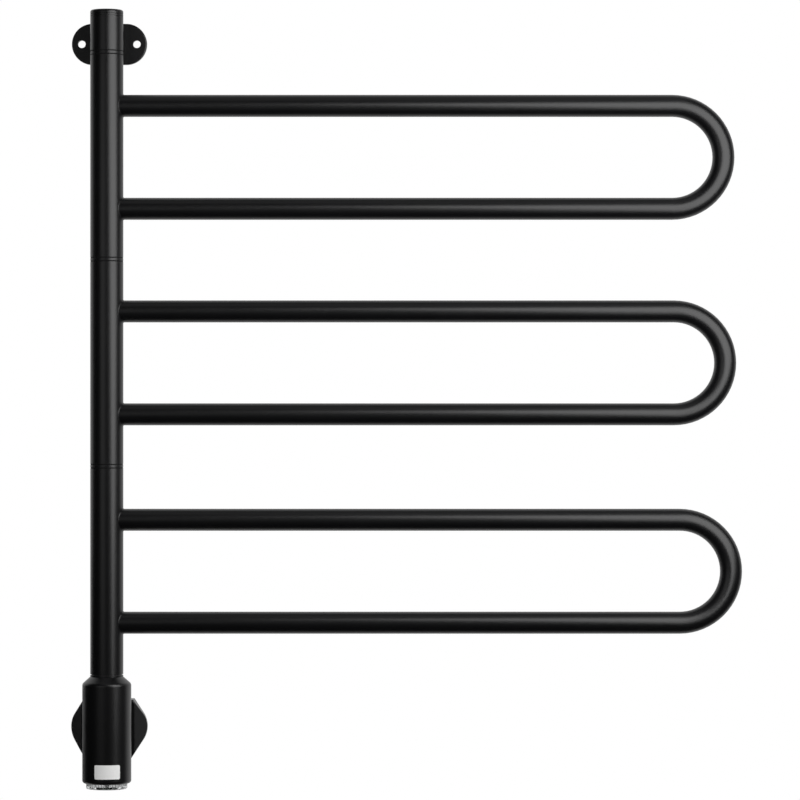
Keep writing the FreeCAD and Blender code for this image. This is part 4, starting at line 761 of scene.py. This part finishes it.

# %% [markdown]
# ## The return spring
#
# A coil spring of 0.8 mm wire pushes the button out again. A solid of the construction model is stiff,
# so when the button goes up by 1.2 mm the button would cut into the lowest turn. This spring is wound
# again, but it is kept as one plain mesh: it doesn't shorten when the button goes up. A wire swept along
# a helix is a rule too, so a tree makes it. As on a real pressure spring, the first and the last turn
# lie closed.

# %% Tree that winds a spring
spring_tree, given = geometry_tree("wound_spring", [
    ("Turns", "NodeSocketFloat", 6.0), ("Radius", "NodeSocketFloat", 0.006),
    ("Wire", "NodeSocketFloat", 0.0008), ("Closed Pitch", "NodeSocketFloat", 0.0009),
    ("Height", "NodeSocketFloat", 0.010), ("Foot", "NodeSocketVector", (0.0, 0.0, 0.0)),
    ("Finish", "NodeSocketMaterial", None)], "Wound")
tree = spring_tree
helix = add(tree, "GeometryNodeCurveSpiral", None, {
    "Resolution": 40, "Rotations": given["Turns"], "Start Radius": given["Radius"],
    "End Radius": given["Radius"], "Height": given["Height"]}).outputs[0]
wound_share = add(tree, "GeometryNodeSplineParameter").outputs["Factor"]
first_turn = add(tree, "ShaderNodeMath", {"operation": "DIVIDE"}, {0: 1.0, 1: given["Turns"]}).outputs[0]
last_turn = add(tree, "ShaderNodeMath", {"operation": "SUBTRACT"}, {0: 1.0, 1: first_turn}).outputs[0]
open_height = add(tree, "ShaderNodeMath", {"operation": "MULTIPLY_ADD"}, {
    0: given["Closed Pitch"], 1: -2.0, 2: given["Height"]}).outputs[0]
closed_below = add(tree, "ShaderNodeMapRange", None, {
    "Value": wound_share, "From Max": first_turn, "To Max": given["Closed Pitch"]}).outputs[0]
open_turns = add(tree, "ShaderNodeMapRange", None, {
    "Value": wound_share, "From Min": first_turn, "From Max": last_turn, "To Max": open_height}).outputs[0]
closed_above = add(tree, "ShaderNodeMapRange", None, {
    "Value": wound_share, "From Min": last_turn, "To Max": given["Closed Pitch"]}).outputs[0]
rise = add(tree, "ShaderNodeMath", {"operation": "ADD"}, {0: closed_below, 1: open_turns}).outputs[0]
rise = add(tree, "ShaderNodeMath", {"operation": "ADD"}, {0: rise, 1: closed_above}).outputs[0]
spot = add(tree, "ShaderNodeSeparateXYZ", None, {
    0: add(tree, "GeometryNodeInputPosition").outputs[0]}).outputs
spot = add(tree, "ShaderNodeCombineXYZ", None, {"X": spot["X"], "Y": spot["Y"], "Z": rise}).outputs[0]
spot = add(tree, "ShaderNodeVectorMath", {"operation": "ADD"}, {0: spot, 1: given["Foot"]}).outputs[0]
helix = add(tree, "GeometryNodeSetPosition", None, {"Geometry": helix, "Position": spot}).outputs[0]
wire_radius = add(tree, "ShaderNodeMath", {"operation": "DIVIDE"}, {0: given["Wire"], 1: 2.0}).outputs[0]
wire = add(tree, "GeometryNodeCurvePrimitiveCircle", None, {
    "Resolution": 12, "Radius": wire_radius}).outputs[0]
swept = add(tree, "GeometryNodeCurveToMesh", None, {
    "Curve": helix, "Profile Curve": wire, "Fill Caps": True}).outputs[0]
real = add(tree, "GeometryNodeRealizeInstances", None, {"Geometry": swept}).outputs[0]
painted = add(tree, "GeometryNodeSetMaterial", None, {
    "Geometry": real, "Material": given["Finish"]}).outputs[0]
add(tree, "NodeGroupOutput", None, {"Wound": painted})
print("spring tree with", len(tree.nodes), "nodes")

# %% Winding the spring
SPRING_WIRE = 0.0008
SPRING_TURNS = 6.0
CREASE_OF_WIRE = 40
spring_low, spring_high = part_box("button_spring")
spring_foot = Vector((COLUMN_AXIS.x, COLUMN_AXIS.y, spring_low.z))

spring = bpy.data.objects.new("return_spring", bpy.data.meshes.new("return_spring"))
bpy.context.scene.collection.objects.link(spring)
run_tree(spring, spring_tree, {
    "Turns": SPRING_TURNS, "Radius": (spring_high.x - spring_low.x - SPRING_WIRE) / 2, "Wire": SPRING_WIRE,
    "Height": spring_high.z - spring_low.z - SPRING_WIRE,
    "Foot": (spring_foot.x, spring_foot.y, spring_foot.z + SPRING_WIRE / 2), "Finish": zinc_plated_steel})
as_plain_mesh(spring, CREASE_OF_WIRE, zinc_plated_steel)
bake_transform(spring)
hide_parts("button_spring")
print("spring", round((spring_high.z - spring_low.z) * 1000, 2), "mm high")

# %% [markdown]
# ## Bands and washers
#
# Where one section turns on the next, two fine dark lines show on the column. A groove in coated steel
# wouldn't do that: camera and lamps both look into it level, so its floor would mirror the same stripe
# as the tube. The lines are washers of matt black nylon above and below a coated band, set back by a
# quarter of a millimetre, so they hardly notch the outline. The rings are turned by the tree that
# turned the button, this time without flutes, from a section that closes on itself.

# %% Turning the rings
matt_nylon = moulded("matt_nylon", "#0A0A0B", "#101011", 0.80, 0.92, 1.35)
RING_BORE = 0.01005
WASHER_HEIGHT = 0.0009
SET_BACK = 0.00025
BAND_EDGE = 0.00015
RING_STEPS = 128

for level in ("upper", "middle", "lower"):
    low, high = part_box("thrust_ring_" + level)
    rim = (high.x - low.x) / 2
    band_low, band_high = low.z + WASHER_HEIGHT, high.z - WASHER_HEIGHT
    ring = drawn_section("banded_ring_" + level, [
        (RING_BORE, low.z), (rim - SET_BACK, low.z), (rim - SET_BACK, band_low),
        (rim - BAND_EDGE, band_low), (rim, band_low + BAND_EDGE),
        (rim, band_high - BAND_EDGE), (rim - BAND_EDGE, band_high),
        (rim - SET_BACK, band_high), (rim - SET_BACK, high.z), (RING_BORE, high.z), (RING_BORE, low.z)])
    run_tree(ring, turned_tree, {
        "Flutes": RING_STEPS // 4, "Flute Depth": 0.0, "Axis": (COLUMN_AXIS.x, COLUMN_AXIS.y, 0.0),
        "Finish": satin_powder_coat})
    ring_mesh = as_plain_mesh(ring, CREASE_OF_TURNED, satin_powder_coat, matt_nylon)
    for face in ring_mesh.polygons:
        face.material_index = 0 if band_low - HAIR < face.center.z < band_high + HAIR else 1
    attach(ring, "fixed_frame")
    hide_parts("thrust_ring_" + level)
print("bands", round((band_high - band_low) * 1000, 2), "mm high, washers set back", SET_BACK * 1000, "mm")

# %% [markdown]
# ## Closing
#
# The rail's real size was settled in the construction model, so the dressed model has to have the same box.

# %% Closing
print("scene built")
